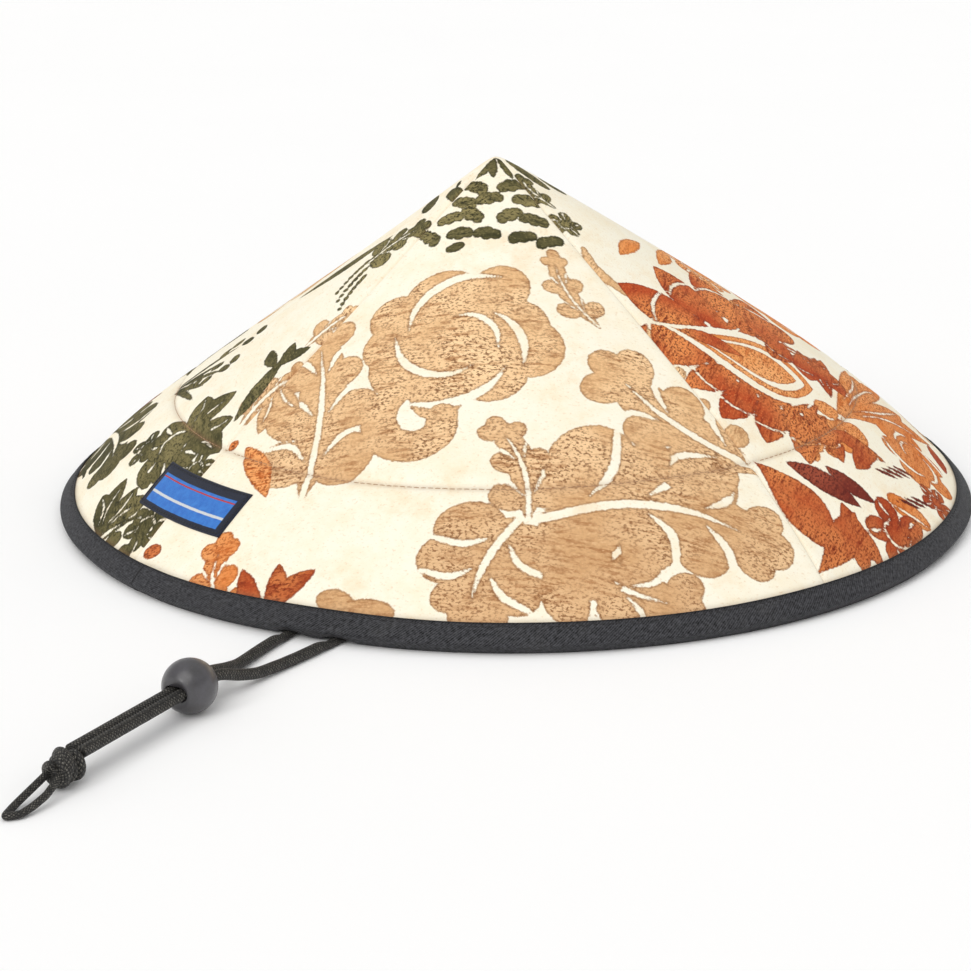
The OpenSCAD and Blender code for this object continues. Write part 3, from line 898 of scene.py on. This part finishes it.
def thread_material(name, dark, light):
    g = Graph(name, rough=0.6, Specular_IOR_Level=0.4)
    ply = g.noise(g.place(), 2600, 3, 0.6, stretch=(1, 1, 2))
    return g.done(g.ramp(ply, (0.3, dark), (0.7, light)), ply, 0.5, 0.75, g.bump(ply, 0.05 * MM, 0.7))


def foam_material():
    g = Graph("closed_cell_foam", rough=0.8, Specular_IOR_Level=0.3)
    place = g.place()
    cells = g.add("TexVoronoi", Vector=place, Scale=900.0)
    tint = g.noise(place, 90, 4)
    skin = g.mix(tint, (88, 90, 92), (106, 106, 104))
    colour = g.mix(g.span(cells, 0.1, 0.6), (62, 64, 66), skin)
    return g.done(colour, tint, 0.7, 0.88, g.bump(cells, 0.2 * MM, 0.8))


def lining_material(name, dark, light, pitch=0.5 * MM):
    """Plain-woven lining with slubs."""
    g = Graph(name, rough=0.7, Specular_IOR_Level=0.35, Sheen_Weight=0.1)
    place = g.attribute("cloth")
    x, y, _ = g.parts(place)
    weave = g.math("MAXIMUM", half_wave(g, x, pitch), half_wave(g, y, pitch, 1.2))
    slub = g.noise(place, 420, 4, 0.6, stretch=(0.12, 1.2, 1))
    shade = weave * 0.4 + slub * 0.6
    normal = g.bump(shade, 0.12 * MM, 0.8, g.bump(g.noise(place, 38, 4, 0.6), 1.4 * MM, 0.4))
    return g.done(g.ramp(shade, (0.3, dark), (0.8, light)), slub, 0.6, 0.82, normal)


def webbing_material(name, dark, light, rib=1.9 * MM, cross=0.9 * MM):
    """Ribbed webbing: heavy ribs across, fine warp along."""
    g = Graph(name, rough=0.7, Specular_IOR_Level=0.35)
    place = g.attribute("band")
    along, z, _ = g.parts(place)
    fuzz = g.noise(place, 900, 4, 0.65)
    height = half_wave(g, along, rib) * 0.7 + half_wave(g, z, cross) * 0.3
    colour = g.ramp(height * 0.6 + fuzz * 0.4, (0.2, dark), (0.75, light))
    return g.done(colour, fuzz, 0.6, 0.85, g.bump(fuzz, 0.08 * MM, 0.5, g.bump(height, 0.35 * MM, 0.9)))


def terry_material():
    """Looped towelling."""
    g = Graph("terry", rough=0.95, Specular_IOR_Level=0.15, Sheen_Weight=0.4)
    place = g.place()
    loops = g.add("TexVoronoi", Vector=place, Scale=620.0)
    fuzz = g.noise(place, 1500, 4, 0.7)
    tint = g.span(g.noise(place, 60, 4, 0.6), 0.4, 0.7, 0, 0.4)
    colour = g.mix(g.span(loops, 0.0, 0.7), (98, 99, 104), (54, 55, 60))
    normal = g.bump(fuzz, 0.15 * MM, 0.6, g.bump(loops, 0.7 * MM, 0.9))
    return g.done(g.mix(tint, colour, (76, 76, 80)), fuzz, 0.88, 0.98, normal)


def label_material():
    """A damask label: black edge, blue field, a pale and a red stripe, and no mark of any kind."""
    g = Graph("label_weave", rough=0.72, Specular_IOR_Level=0.3, Sheen_Weight=0.1)
    place = g.attribute("patch")
    x, y, _ = g.parts(place)
    tint = g.noise(place, 240, 4, 0.6)
    wobble = (tint - 0.5) * (0.5 * MM)
    sx, sy = g.math("ABSOLUTE", x + wobble), y + wobble
    half_w, half_h = LABEL_W / 2, LABEL_H / 2
    field = g.span(sx, half_w - 4.2 * MM, half_w - 4.5 * MM)
    field = field * g.span(sy, half_h - 5.6 * MM, half_h - 5.9 * MM)
    field = field * g.span(sy, -half_h + 3.0 * MM, -half_h + 3.3 * MM)
    blue = g.ramp(tint, (0.3, (42, 110, 204)), (0.7, (68, 140, 224)))
    colour = g.mix(field, g.ramp(tint, (0.3, (20, 26, 44)), (0.7, (38, 44, 62))), blue)
    for low, high, stripe in ((4.4, 5.4, (196, 62, 52)), (-4.6, -3.0, (222, 226, 228))):
        band = g.span(sy, low * MM, (low + 0.25) * MM) * g.span(sy, high * MM, (high - 0.25) * MM)
        colour = g.mix(band * field, colour, stripe)
    weave = half_wave(g, y, 0.5 * MM) * 0.7 + half_wave(g, x, 0.42 * MM) * 0.3
    colour = g.mix(weave * 0.25, colour, (16, 22, 34), "MULTIPLY")
    normal = g.bump(weave, 0.16 * MM, 0.8, g.bump(g.noise(place, 90, 3), 0.6 * MM, 0.3))
    return g.done(colour, tint, 0.62, 0.82, normal)


def floor_material():
    g = Graph("studio_floor", rough=0.9, Specular_IOR_Level=0.1)
    g.set(Base_Color=g.mix(g.noise(g.place(), 3, 3), (253, 253, 253), (255, 255, 255)))
    return g.material


canvas = canvas_material()
twill = twill_material("binding_twill", (4, 4, 5), (76, 76, 80), lap_and_edge_shade=True)
braid = braid_material()
black_thread = thread_material("black_thread", (22, 22, 24), (58, 57, 58))
brown_thread = thread_material("brown_thread", (138, 104, 76), (190, 150, 114))
lining = lining_material("lining_weave", (24, 26, 28), (60, 62, 64))
seam_tape = twill_material("seam_tape", (22, 22, 24), (56, 56, 58), 1.0 * MM)
webbing = webbing_material("headband_webbing_weave", (18, 18, 20), (58, 58, 62))
elastic = webbing_material("ribbed_elastic", (26, 26, 30), (82, 82, 88), 6.0 * MM, 1.25 * MM)


def piece(obj, material_slot, *nodes, body="hat"):
    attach(obj, body)
    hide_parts(*nodes)
    return obj


# The camera
camera = new_object("camera", bpy.data.cameras.new("camera"))
camera.data.sensor_width = 36
camera.data.lens = CAM_LENS
camera.data.clip_end = 60
eye = Vector((0, -CAM_DISTANCE * cos(CAM_UP), 0.05 + CAM_DISTANCE * sin(CAM_UP)))
look = (CAM_AIM - eye).normalized()
level = look.cross(Vector((0, 0, 1))).normalized()
upward = level.cross(look)
cam_x = cos(CAM_ROLL) * level - sin(CAM_ROLL) * upward
cam_y = sin(CAM_ROLL) * level + cos(CAM_ROLL) * upward
camera.matrix_world = Matrix((cam_x, cam_y, -look)).transposed().to_4x4()
camera.matrix_world.translation = eye
bpy.context.scene.camera = camera


# The chin cord: two braided strands, the bead that slides on them, the knot and the end loop
def on_slide(along, side):
    return BEAD_AT + along * MM * ALONG + side * STRAND_SIDE * ACROSS


def softened(path, times):
    """The path with its corners rounded."""
    for _ in range(times):
        path[1:-1] = (path[:-2] + 2 * path[1:-1] + path[2:]) / 4
    return path


def strand(node, route, side):
    """From the anchor tab to the table, under the rim, through the bead and into the knot."""
    start = on_slide(16, side)
    points = [np.array(p) * MM for p in route] + [start]
    before = points[0] + np.array([0, 0, 18 * MM])
    free = smooth_route(points, before, on_slide(-6, side), 3 * CORD_D)
    straight = np.array([on_slide(along, side) for along in (0, -34, -71)])
    path = softened(resample(np.concatenate([free, straight]), 0.7 * MM), 40)
    # Flattened where the rim rests on it.
    reach = np.hypot(path[:, 0], path[:, 1])
    pressed = smoothstep(reach, 0.205, 0.214) * (1 - smoothstep(reach, 0.231, 0.240))
    squash = 1 - 0.36 * pressed
    low = 0.1 * MM + CORD_D / 2 * squash
    path[:, 2] = path[:, 2] + (low - path[:, 2]) * pressed
    obj = braided(node + "_braid", node, path, CORD_D / 2, 20, squash)


strand("chin_cord_left", LEFT_ROUTE, 1)
strand("chin_cord_right", RIGHT_ROUTE, -1)


def loop():
    """The doubled end drawn out of the knot, thinner than the cord."""
    points = [np.array(p) * MM for p in LOOP_ROUTE]
    route = smooth_route(points, np.array([-168, -349, 9]) * MM, np.array([-164, -350, 9.5]) * MM, 2 * LOOP_D)
    path = softened(resample(route, 0.6 * MM), 6)
    braided("end_loop_braid", "end_loop", path, LOOP_D / 2, 16)


loop()


def knot():
    """An overhand knot in the doubled cord: wraps round a core, and one that crosses over them."""
    middle = on_slide(-KNOT_REACH / MM, 0)
    middle[2] = 7.4 * MM
    up = np.array([0, 0, 1.0])

    def wrap(name, turns, reach, along, radius):
        a = np.radians(turns)[:, None]
        ring = reach[:, None] * MM * (np.cos(a) * ACROSS + np.sin(a) * up)
        path = resample(middle + along[:, None] * MM * ALONG + ring, 0.5 * MM)
        path[:, 2] = np.maximum(path[:, 2], radius + 0.15 * MM)
        braided("end_knot_" + name, "end_knot", path, radius, 18)

    t = np.linspace(0, 1, 120)
    arc = np.sin(pi * t) ** 0.6
    turns = 40 + 1130 * t
    coil = 4.2 + 0.35 * np.sin(9 * t) - 2.6 * bell(t, 0.05) - 2.6 * bell(1 - t, 0.05)
    wrap("coil", turns, coil, 6.2 - 12.4 * t + 1.1 * np.cos(np.radians(turns + 30)), 2.15 * MM)
    wrap("crossing", 215 - 250 * t, 3.4 + 2.7 * arc, -6.4 + 12.2 * t, 1.95 * MM)
    wrap("tuck", -30 + 200 * t, 3.0 + 2.6 * arc, 4.5 - 9.5 * t, 1.9 * MM)
    wrap("core", 90 + 0 * t, 0.2 + 0 * t, 7.2 - 14.0 * t, 2.7 * MM)


knot()


def bore_reach(turn):
    """From the bead's axis to the wall of its bore, a slot that the two strands fill side by side."""
    across, up = abs(cos(turn)), abs(sin(turn))
    if across * BORE_R <= STRAND_SIDE * up:
        return BORE_R / up
    return STRAND_SIDE * across + sqrt(BORE_R**2 - (STRAND_SIDE * up) ** 2)


def bead():
    """A ball with small flats and a slotted bore, with softened edges."""
    ball, half = 11.25 * MM, 9.5 * MM
    flat = acos(half / ball)
    skin = [(ball * cos(t), ball * sin(t)) for t in np.linspace(flat + 0.06, pi - flat - 0.06, 44)]
    rim = ball * sin(flat) - 0.1 * MM
    skin = [(half - 0.08 * MM, rim)] + skin + [(0.08 * MM - half, rim)]
    lip = [(-half + 0.02 * MM, 0.35 * MM), (-half + 0.2 * MM, 0.1 * MM), (-half + 0.8 * MM, 0.0)]
    inside = [(x, 0.0) for x in np.linspace(-half + 1.6 * MM, half - 1.6 * MM, 8)]
    profile = np.array(skin + lip + inside + [(-x, r) for x, r in reversed(lip)])
    bored = np.arange(len(profile)) >= len(skin)
    sides = 120
    turn = full_turn(sides)

    def outline(k):
        ring = ACROSS * cos(turn[k]) + np.array([0, 0, 1.0]) * sin(turn[k])
        reach = profile[:, 1] + bored * bore_reach(turn[k])
        return BEAD_AT + profile[:, :1] * ALONG + reach[:, None] * ring
    obj = mesh_object("cord_bead_ball", *swept(outline, sides), bead_material())
    piece(obj, "bead", "cord_bead", body="bead")


bead()


# The printed canvas: four gores
def gore(node, name, centre, paint, rows=262, cols=320):
    length = np.linspace(0.4 * MM, SHELL_LEN - 0.5 * MM, rows)
    u = np.linspace(-1, 1, cols)
    # Columns crowd towards the seams.
    t = 1.11 * u - 0.11 * u**9
    r, az = grid(radius_at(length), centre + t * QUARTER / 2)
    verts = shell(r, az, 0.0, seam_dip(r, az)).reshape(-1, 3)
    x, y = cloth_place(r.ravel(), az.ravel(), centre)
    inks = Print(x / MM, y / MM)
    paint(inks)
    # Painted shade, with a little dirt, along the seams, the ring of stitching and the binding's top edge.
    side = r * np.abs(np.abs(az - centre) - QUARTER / 2)
    seam = bell(side, 0.8 * MM) * 0.35 * smoothstep(r, 0.0, 0.02)
    crease = np.maximum(bell(r - RING_R, 1.1 * MM) * 0.8, seam)
    crease = np.maximum(crease, bell(r - (EDGE_R - 10.3 * MM * BRIM_COS), 1.2 * MM) * 0.7)
    cloth = np.stack([x, y, np.full_like(x, 0.7 * (centre + 4))], -1)
    obj = mesh_object(name, verts, quads(rows, cols), canvas, cloth=cloth, **inks.ink, crease=crease.ravel())
    piece(obj, "printed_canvas", node)


for gore_facts in GORES:
    gore(*gore_facts)


# Foam core and lining
def shell_core(name, node, start, end):
    """A closed foam layer between two lengths down the slope."""
    inset = 0.5 * MM
    top = [(s, FOAM_OUT + 0.05 * MM) for s in np.linspace(start + inset, end - inset, 36)]
    under = [(s, FOAM_IN) for s in np.linspace(end - inset, start + inset, 36)]
    shallow, deep = FOAM_OUT + 1.2 * MM, FOAM_IN - 1.2 * MM
    edge = np.array(top + [(end, shallow), (end, deep)] + under + [(start, deep), (start, shallow)])
    rings = 240

    def profile(k):
        az = 2 * pi * k / rings
        return on_table(shell(radius_at(edge[:, 0]), az, edge[:, 1]), 0.9 * MM, az)
    piece(mesh_object(name, *swept(profile, rings), foam), "foam", node)


foam = foam_material()
shell_core("crown_foam_core", "crown_foam", 2 * MM, CROWN_LEN - 0.3 * MM)
shell_core("brim_foam_core", "brim_foam", CROWN_LEN + 0.3 * MM, SHELL_LEN - 0.3 * MM)


def lining_sheet(name, node, start, end, rows):
    """One layer of lining under the foam, slightly slack between its seams."""
    length = np.linspace(start, end, rows)
    r, az = grid(radius_at(length), full_turn(360))
    slack = 0.25 * MM * np.sin(9 * az + 60 * r) * smoothstep(r, 0.02, 0.1)
    points = on_table(shell(r, az, LINING_IN - 0.3 * MM + np.abs(slack) * 0.5), 0.8 * MM, az)
    cloth = np.stack([az * r, length[:, None] + 0 * az, 0 * az], -1)
    faces = quads(rows, 360, wrap_cols=True, flip=True)
    obj = mesh_object(name, points.reshape(-1, 3), faces, lining, cloth=cloth)
    piece(obj, "lining", node)


lining_sheet("crown_lining_cone", "crown_lining", 1 * MM, CROWN_LEN, 60)
lining_sheet("brim_lining_ring", "brim_lining", CROWN_LEN, SHELL_LEN - 0.5 * MM, 30)


def strip(along, edge, profile):
    """An open tape with outline edge. profile gives its points at each distance of along."""
    verts, faces = swept(profile, len(along), wrap=False)
    place = np.repeat(np.concatenate([along[:1], along, along[-1:]]), len(edge))
    return verts, faces, np.stack([place, np.tile(edge[:, 0], len(along) + 2), 0 * place], -1)


def strips(name, node, slot, material, key, tapes):
    """Several tapes as one piece."""
    verts, faces, places = zip(*tapes)
    place = {key: np.concatenate(places)}
    piece(mesh_object(name, *joined(zip(verts, faces)), material, **place), slot, node)


def lining_tape(az):
    """A tape over one seam inside, from near the apex to the binding."""
    edge = rounded_box(12 * MM, 0.5 * MM, 0.2 * MM, 3)
    length = np.linspace(14 * MM, SHELL_LEN - 11.5 * MM, 150)

    def profile(k):
        r = radius_at(length[k])
        return shell(r, az + edge[:, 0] / r, LINING_IN + 0.5 * MM + edge[:, 1])
    return strip(length, edge, profile)


strips("lining_seam_tape_strips", "lining_seam_tapes", "tape", seam_tape, "tape",
       [lining_tape(SEAM + k * QUARTER) for k in range(4)])


# Edge binding
def binding_outline():
    """The folded tape's cross-section: distance up the slope, depth, and least height over the table."""
    w, thick, inner = BINDING_W, 0.6 * MM, TAPE_IN
    outside = [(up, -0.8 * MM) for up in np.linspace(w - 0.25 * MM, -0.2 * MM, 20)]
    fold = [(-0.62, -0.5), (-0.9, 0.2), (-1.0, 1.4), (-1.0, 3.0), (-1.0, 4.8), (-0.9, 6.0)]
    fold = [(up * MM, depth * MM) for up, depth in fold] + [(-0.5 * MM, inner - 0.1 * MM)]
    inside = [(up, inner) for up in np.linspace(0.3 * MM, w - 0.25 * MM, 16)]
    back = [(w, inner - 0.3 * MM)] + [(up, inner - thick) for up in np.linspace(w - 0.15 * MM, -0.3 * MM, 10)]
    front = [(up, -0.2 * MM) for up in np.linspace(-0.3 * MM, w - 0.15 * MM, 10)] + [(w, -0.5 * MM)]
    rows = [(*p, 0.0) for p in outside + fold + inside] + [(*p, thick) for p in back + front]
    return np.array(rows)


def binding():
    rings = 1000
    up, depth, floor = binding_outline().T
    skin = floor == 0
    share = np.clip(up / BINDING_W, 0, 1)

    def profile(k):
        lap = 2 * pi * k / rings
        az = LAP_AZ + lap
        wave = 0.5 + 0.5 * sin(lap * RIM_STITCHES / 2)
        # A slight bulge, the stitches' groove, an uneven edge, puckers between stitches, and the lap.
        out = 0.28 * MM * np.sin(pi * share) - 0.30 * MM * bell(up - STITCH_UP, 0.9 * MM)
        out = out + 0.12 * MM * sin(23 * az + 2 * sin(7 * az)) * share
        out = out + 0.09 * MM * wave * bell(up - BINDING_W, 1.2 * MM)
        out = (out + 0.7 * MM * (1 - smoothstep(lap, 0.04, 0.09))) * skin
        out = np.where(depth > 3 * MM, -out, out)
        return on_table(shell(EDGE_R - up * BRIM_COS, az, depth, out), floor, az)
    across = np.concatenate([[0], np.cumsum(np.hypot(np.diff(up), np.diff(depth)))])
    along = np.arange(rings) * 2 * pi / rings * EDGE_R
    place = np.stack(np.broadcast_arrays(along[:, None], across[None], 0.0), -1)
    piece(mesh_object("edge_binding_tape", *swept(profile, rings), twill, tape=place), "tape", "edge_binding")


binding()

# Stitching: round the ring through every layer, and along the binding on both faces.
stitch_row("ring_stitching_outside", "ring_stitching", RING_R, 0.0,
           RING_STITCHES, 0.93, 0.38 * MM, brown_thread)
stitch_row("ring_stitching_inside", "ring_stitching", RING_R - 1.6 * MM, LINING_IN + 0.7 * MM,
           RING_STITCHES, 0.72, 0.6 * MM, black_thread)
for name, depth in (("outside", -0.55 * MM), ("inside", TAPE_IN)):
    stitch_row("binding_stitching_" + name, "binding_stitching", EDGE_R - STITCH_UP * BRIM_COS, depth,
               RIM_STITCHES, 0.7, 0.6 * MM, black_thread)


# The woven label
def label_point(x, y, height):
    """x along the brim and y up the slope from the label's middle."""
    r = EDGE_R - (LABEL_S + LABEL_H / 2 + y) * BRIM_COS
    return shell(r, LABEL_AZ + np.arcsin(np.clip(x / r, -1, 1)), -height)


def label():
    rows, cols = 44, 100
    v, u = grid(np.linspace(-1, 1, rows), np.linspace(-1, 1, cols))
    x, y = u * LABEL_W / 2, v * LABEL_H / 2
    rim = np.minimum(LABEL_W / 2 - np.abs(x), LABEL_H / 2 - np.abs(y))
    height = 0.9 * MM * smoothstep(rim, -0.4 * MM, 0.5 * MM) - 0.22 * MM * bell(rim - 1.4 * MM, 0.6 * MM)
    height = height + 0.35 * MM * smoothstep(rim, 1.5 * MM, 7 * MM)
    height = height + 0.1 * MM * np.sin(x * 210 + 1) * (1 - u**2)
    verts = np.concatenate([label_point(x, y, h).reshape(-1, 3) for h in (height, 0.15 * MM + 0 * x)])
    n = rows * cols
    at = np.arange(n).reshape(rows, cols)
    edge = np.concatenate([at[0], at[1:, -1], at[-1, -2::-1], at[-2:0:-1, 0]])
    after = np.roll(edge, -1)
    wall = np.stack([edge, edge + n, after + n, after], 1)
    faces = np.concatenate([quads(rows, cols, flip=True), quads(rows, cols, start=n), wall])
    place = np.tile(np.stack([x, y, 0 * x], -1).reshape(-1, 3), (2, 1))
    patch = mesh_object("woven_label_patch", verts, faces, label_material(), patch=place)
    piece(patch, "woven_label", "woven_label")

    corners = np.array([(-1, -1), (1, -1), (1, 1), (-1, 1)]) * (np.array([LABEL_W, LABEL_H]) / 2 - 1.4 * MM)
    threads = []
    for a, b in zip(corners, np.roll(corners, -1, 0)):
        count = round(np.linalg.norm(b - a) / (2.1 * MM))
        for k in range(count):
            p, q = a + (b - a) * (k + 0.14) / count, a + (b - a) * (k + 0.86) / count
            start, lifted = label_point(*p, 0.86 * MM), label_point(*p, 1.86 * MM)
            threads.append((start, label_point(*q, 0.86 * MM), (lifted - start) / MM))
    ends = map(np.array, zip(*threads))
    stitches("label_stitching_thread", "label_stitching", *ends, 0.4 * MM, black_thread)


label()


# Inside: headband, hangers, anchor tabs, tacks and tag
HEAD_R = 90.5 * MM
WEB_R = HEAD_R + 2.3 * MM
ELASTIC_R = WEB_R + 1.8 * MM
BACK_AZ, OPEN_HALF, ELASTIC_HALF = radians(128), radians(28), radians(34)
HANGER_AZ = [radians(a) for a in (-7, 83, 173, 263)]
ANCHOR_AZ = {"cord_anchor_left": radians(-142), "cord_anchor_right": radians(38)}


def band_piece(name, node, material_slot, material, *facts, **more):
    verts, faces, place = arc_band(*facts, **more)
    return piece(mesh_object(name, verts, faces, material, band=place), material_slot, node)


band_piece("headband_webbing_strap", "headband_webbing", "webbing", webbing, WEB_R, 1.5 * MM,
           66 * MM, 96 * MM, BACK_AZ + OPEN_HALF, BACK_AZ + 2 * pi - OPEN_HALF, 420)
band_piece("headband_elastic_strap", "headband_elastic", "elastic", elastic, ELASTIC_R, 1.2 * MM,
           68 * MM, 94 * MM, BACK_AZ - ELASTIC_HALF, BACK_AZ + ELASTIC_HALF, 120, wave=0.06 * MM)
band_piece("sweatband_terry", "sweatband", "terry", terry_material(), HEAD_R + 0.05 * MM, 1.9 * MM,
                     64 * MM, 97 * MM, 0, 2 * pi, 480, corner=0.9 * MM, wave=0.05 * MM)


def folded(az, width, thick, corner, route, middle=None, lean=0.0):
    """Webbing whose side view is route, as (radius, height), at azimuth az."""
    edge = rounded_box(width, thick, corner, 3)
    route = np.array(route)
    ahead = unit(np.gradient(route, axis=0))

    def profile(k):
        z = route[k, 1] + ahead[k, 0] * edge[:, 1]
        turn = az + edge[:, 0] / (middle or route[k, 0])
        points = around(route[k, 0] - ahead[k, 1] * edge[:, 1], turn, z)
        points[:, 0] += lean * smoothstep(z, 84 * MM, 100 * MM)
        return points
    return strip(lengths_along(np.concatenate([route, 0 * route[:, :1]], 1)), edge, profile)


def hanger(az):
    """A tape from the headband up to the lining, with its foot turned out along the crown."""
    leg, thick, top = ELASTIC_R + 0.1 * MM, 1.2 * MM, LINING_IN + 0.05 * MM
    head = HAT_H - leg * CROWN_TAN - (top + thick / 2) * hypot(1, CROWN_TAN)
    slope = np.array([1, -CROWN_TAN]) / hypot(1, CROWN_TAN)
    corner = np.array([leg + thick / 2, head])
    route = [(corner[0], z) for z in np.linspace(80.3 * MM, head - 3.4 * MM, 12)]
    knee, far = np.array(route[-1]), corner + slope * 4 * MM
    for t in np.linspace(0.15, 0.85, 6):
        bent = corner + np.array([0.2, -0.4]) * MM
        route.append((1 - t) ** 2 * knee + 2 * t * (1 - t) * bent + t * t * far)
    route += [corner + slope * s for s in np.linspace(4 * MM, 20 * MM, 10)]
    return folded(az, 25 * MM, thick, 0.3 * MM, route, lean=float(lean_of(leg)) * 0.9)


strips("headband_hanger_tapes", "headband_hangers", "webbing", webbing, "band", map(hanger, HANGER_AZ))


def anchor(node, az):
    """Webbing folded over the cord's end and sewn to the headband."""
    thick, depth, low, bend = 1.5 * MM, 6.0 * MM, 60 * MM, 81 * MM
    middle, half = WEB_R + 1.6 * MM + depth / 2, (depth - thick) / 2
    route = [(middle - half, z) for z in np.linspace(low, bend, 16)]
    route += [(middle - half * cos(t), bend + half * sin(t)) for t in np.linspace(0.3, pi - 0.3, 9)]
    route += [(middle + half, z) for z in np.linspace(bend, low, 16)]
    tab = folded(az, 14 * MM, thick, 0.4 * MM, route, middle)
    strips(node + "_tab", node, "webbing", webbing, "band", [tab])


for node, az in ANCHOR_AZ.items():
    anchor(node, az)


def bar_tack(az, half, radius, low, high):
    """The two ends of each stitch of a dense bar, and their normals."""
    count = round(2 * half * radius / (0.75 * MM))
    turn = az + np.linspace(-half, half, count)
    return around(radius, turn, low), around(radius, turn, high), around(1.0, turn, 0.0)


tacks = [bar_tack(az, radians(3), WEB_R + 7.65 * MM, z, z + 1.6 * MM)
         for az in ANCHOR_AZ.values() for z in (66 * MM, 79 * MM)]
tacks += [bar_tack(az, radians(5), ELASTIC_R + 1.35 * MM, 84 * MM, 85.6 * MM) for az in HANGER_AZ]
stitches("bar_tack_threads", "bar_tacks", *map(np.concatenate, zip(*tacks)), 0.45 * MM, black_thread)


def tag():
    """A blank tag that hangs from the webbing, curling a little."""
    rows, cols, az0 = 30, 20, radians(-4)
    v, u = grid(np.linspace(0, 1, rows), np.linspace(-1, 1, cols))
    z = (76 - 34 * v) * MM
    out = WEB_R + 1.9 * MM + 0.25 * MM * (1 - np.cos(u * 2)) * v
    out = np.where(z > 66 * MM, WEB_R + 1.8 * MM, out)
    turn = az0 + u * 12 * MM / WEB_R
    points = around(out, turn, z).reshape(-1, 3)
    satin = lining_material("tag_satin", (196, 194, 188), (236, 234, 228), 0.35 * MM)
    place = np.stack([turn * WEB_R, z, 0 * z], -1)
    obj = mesh_object("care_tag_blank", points, quads(rows, cols), satin, cloth=place)
    piece(obj, "care_label", "care_label")


tag()


# Floor, world and light
def stage():
    """A wide floor of a few rings of quads, so that the studio has no edge in view."""
    turn = full_turn(64)
    radii = np.array([0.02, 0.5, 1.5, 4, 9, 16])
    points = radii[:, None, None] * np.stack([np.cos(turn), np.sin(turn), 0 * turn], -1)
    faces = quads(6, 64, wrap_cols=True).tolist() + [list(range(64))]
    mesh_object("studio_floor", points.reshape(-1, 3), faces, floor_material(), False)


def soft_sun(name, aim, strength, spread, tint):
    """A very wide distant source, so that the whole floor is lit alike."""
    light = bpy.data.lights.new(name, "SUN")
    light.energy, light.angle, light.color = strength, radians(spread), tint
    obj = new_object(name, light)
    obj.rotation_euler = Vector(aim).to_track_quat("-Z", "Y").to_euler()


stage()
soft_sun("key", (0.45, 0.95, -1.35), 1.08, 55, (1.0, 0.985, 0.96))
soft_sun("glint", (0.59, 0.63, -0.51), 0.34, 16, (1.0, 1.0, 1.0))
soft_sun("top", (-0.2, -0.1, -1.0), 0.35, 90, (0.98, 0.99, 1.0))


def studio_world():
    """A pale dome whose low band is as bright as the floor, so that the two meet without a line."""
    world = bpy.data.worlds.new("studio")
    world.use_nodes = True
    nodes, links = world.node_tree.nodes, world.node_tree.links
    parts = nodes.new("ShaderNodeSeparateXYZ")
    links.new(nodes.new("ShaderNodeTexCoord").outputs["Generated"], parts.inputs[0])
    band = nodes.new("ShaderNodeMapRange")
    links.new(parts.outputs["Z"], band.inputs["Value"])
    for socket, value in zip(("From Min", "From Max", "To Min", "To Max"), (0.18, 0.38, 0.97, 0.54)):
        band.inputs[socket].default_value = value
    background = nodes["Background"]
    background.inputs["Color"].default_value = (1, 1, 1, 1)
    links.new(band.outputs["Result"], background.inputs["Strength"])
    bpy.context.scene.world = world


studio_world()
bpy.context.scene.view_settings.view_transform = "Standard"
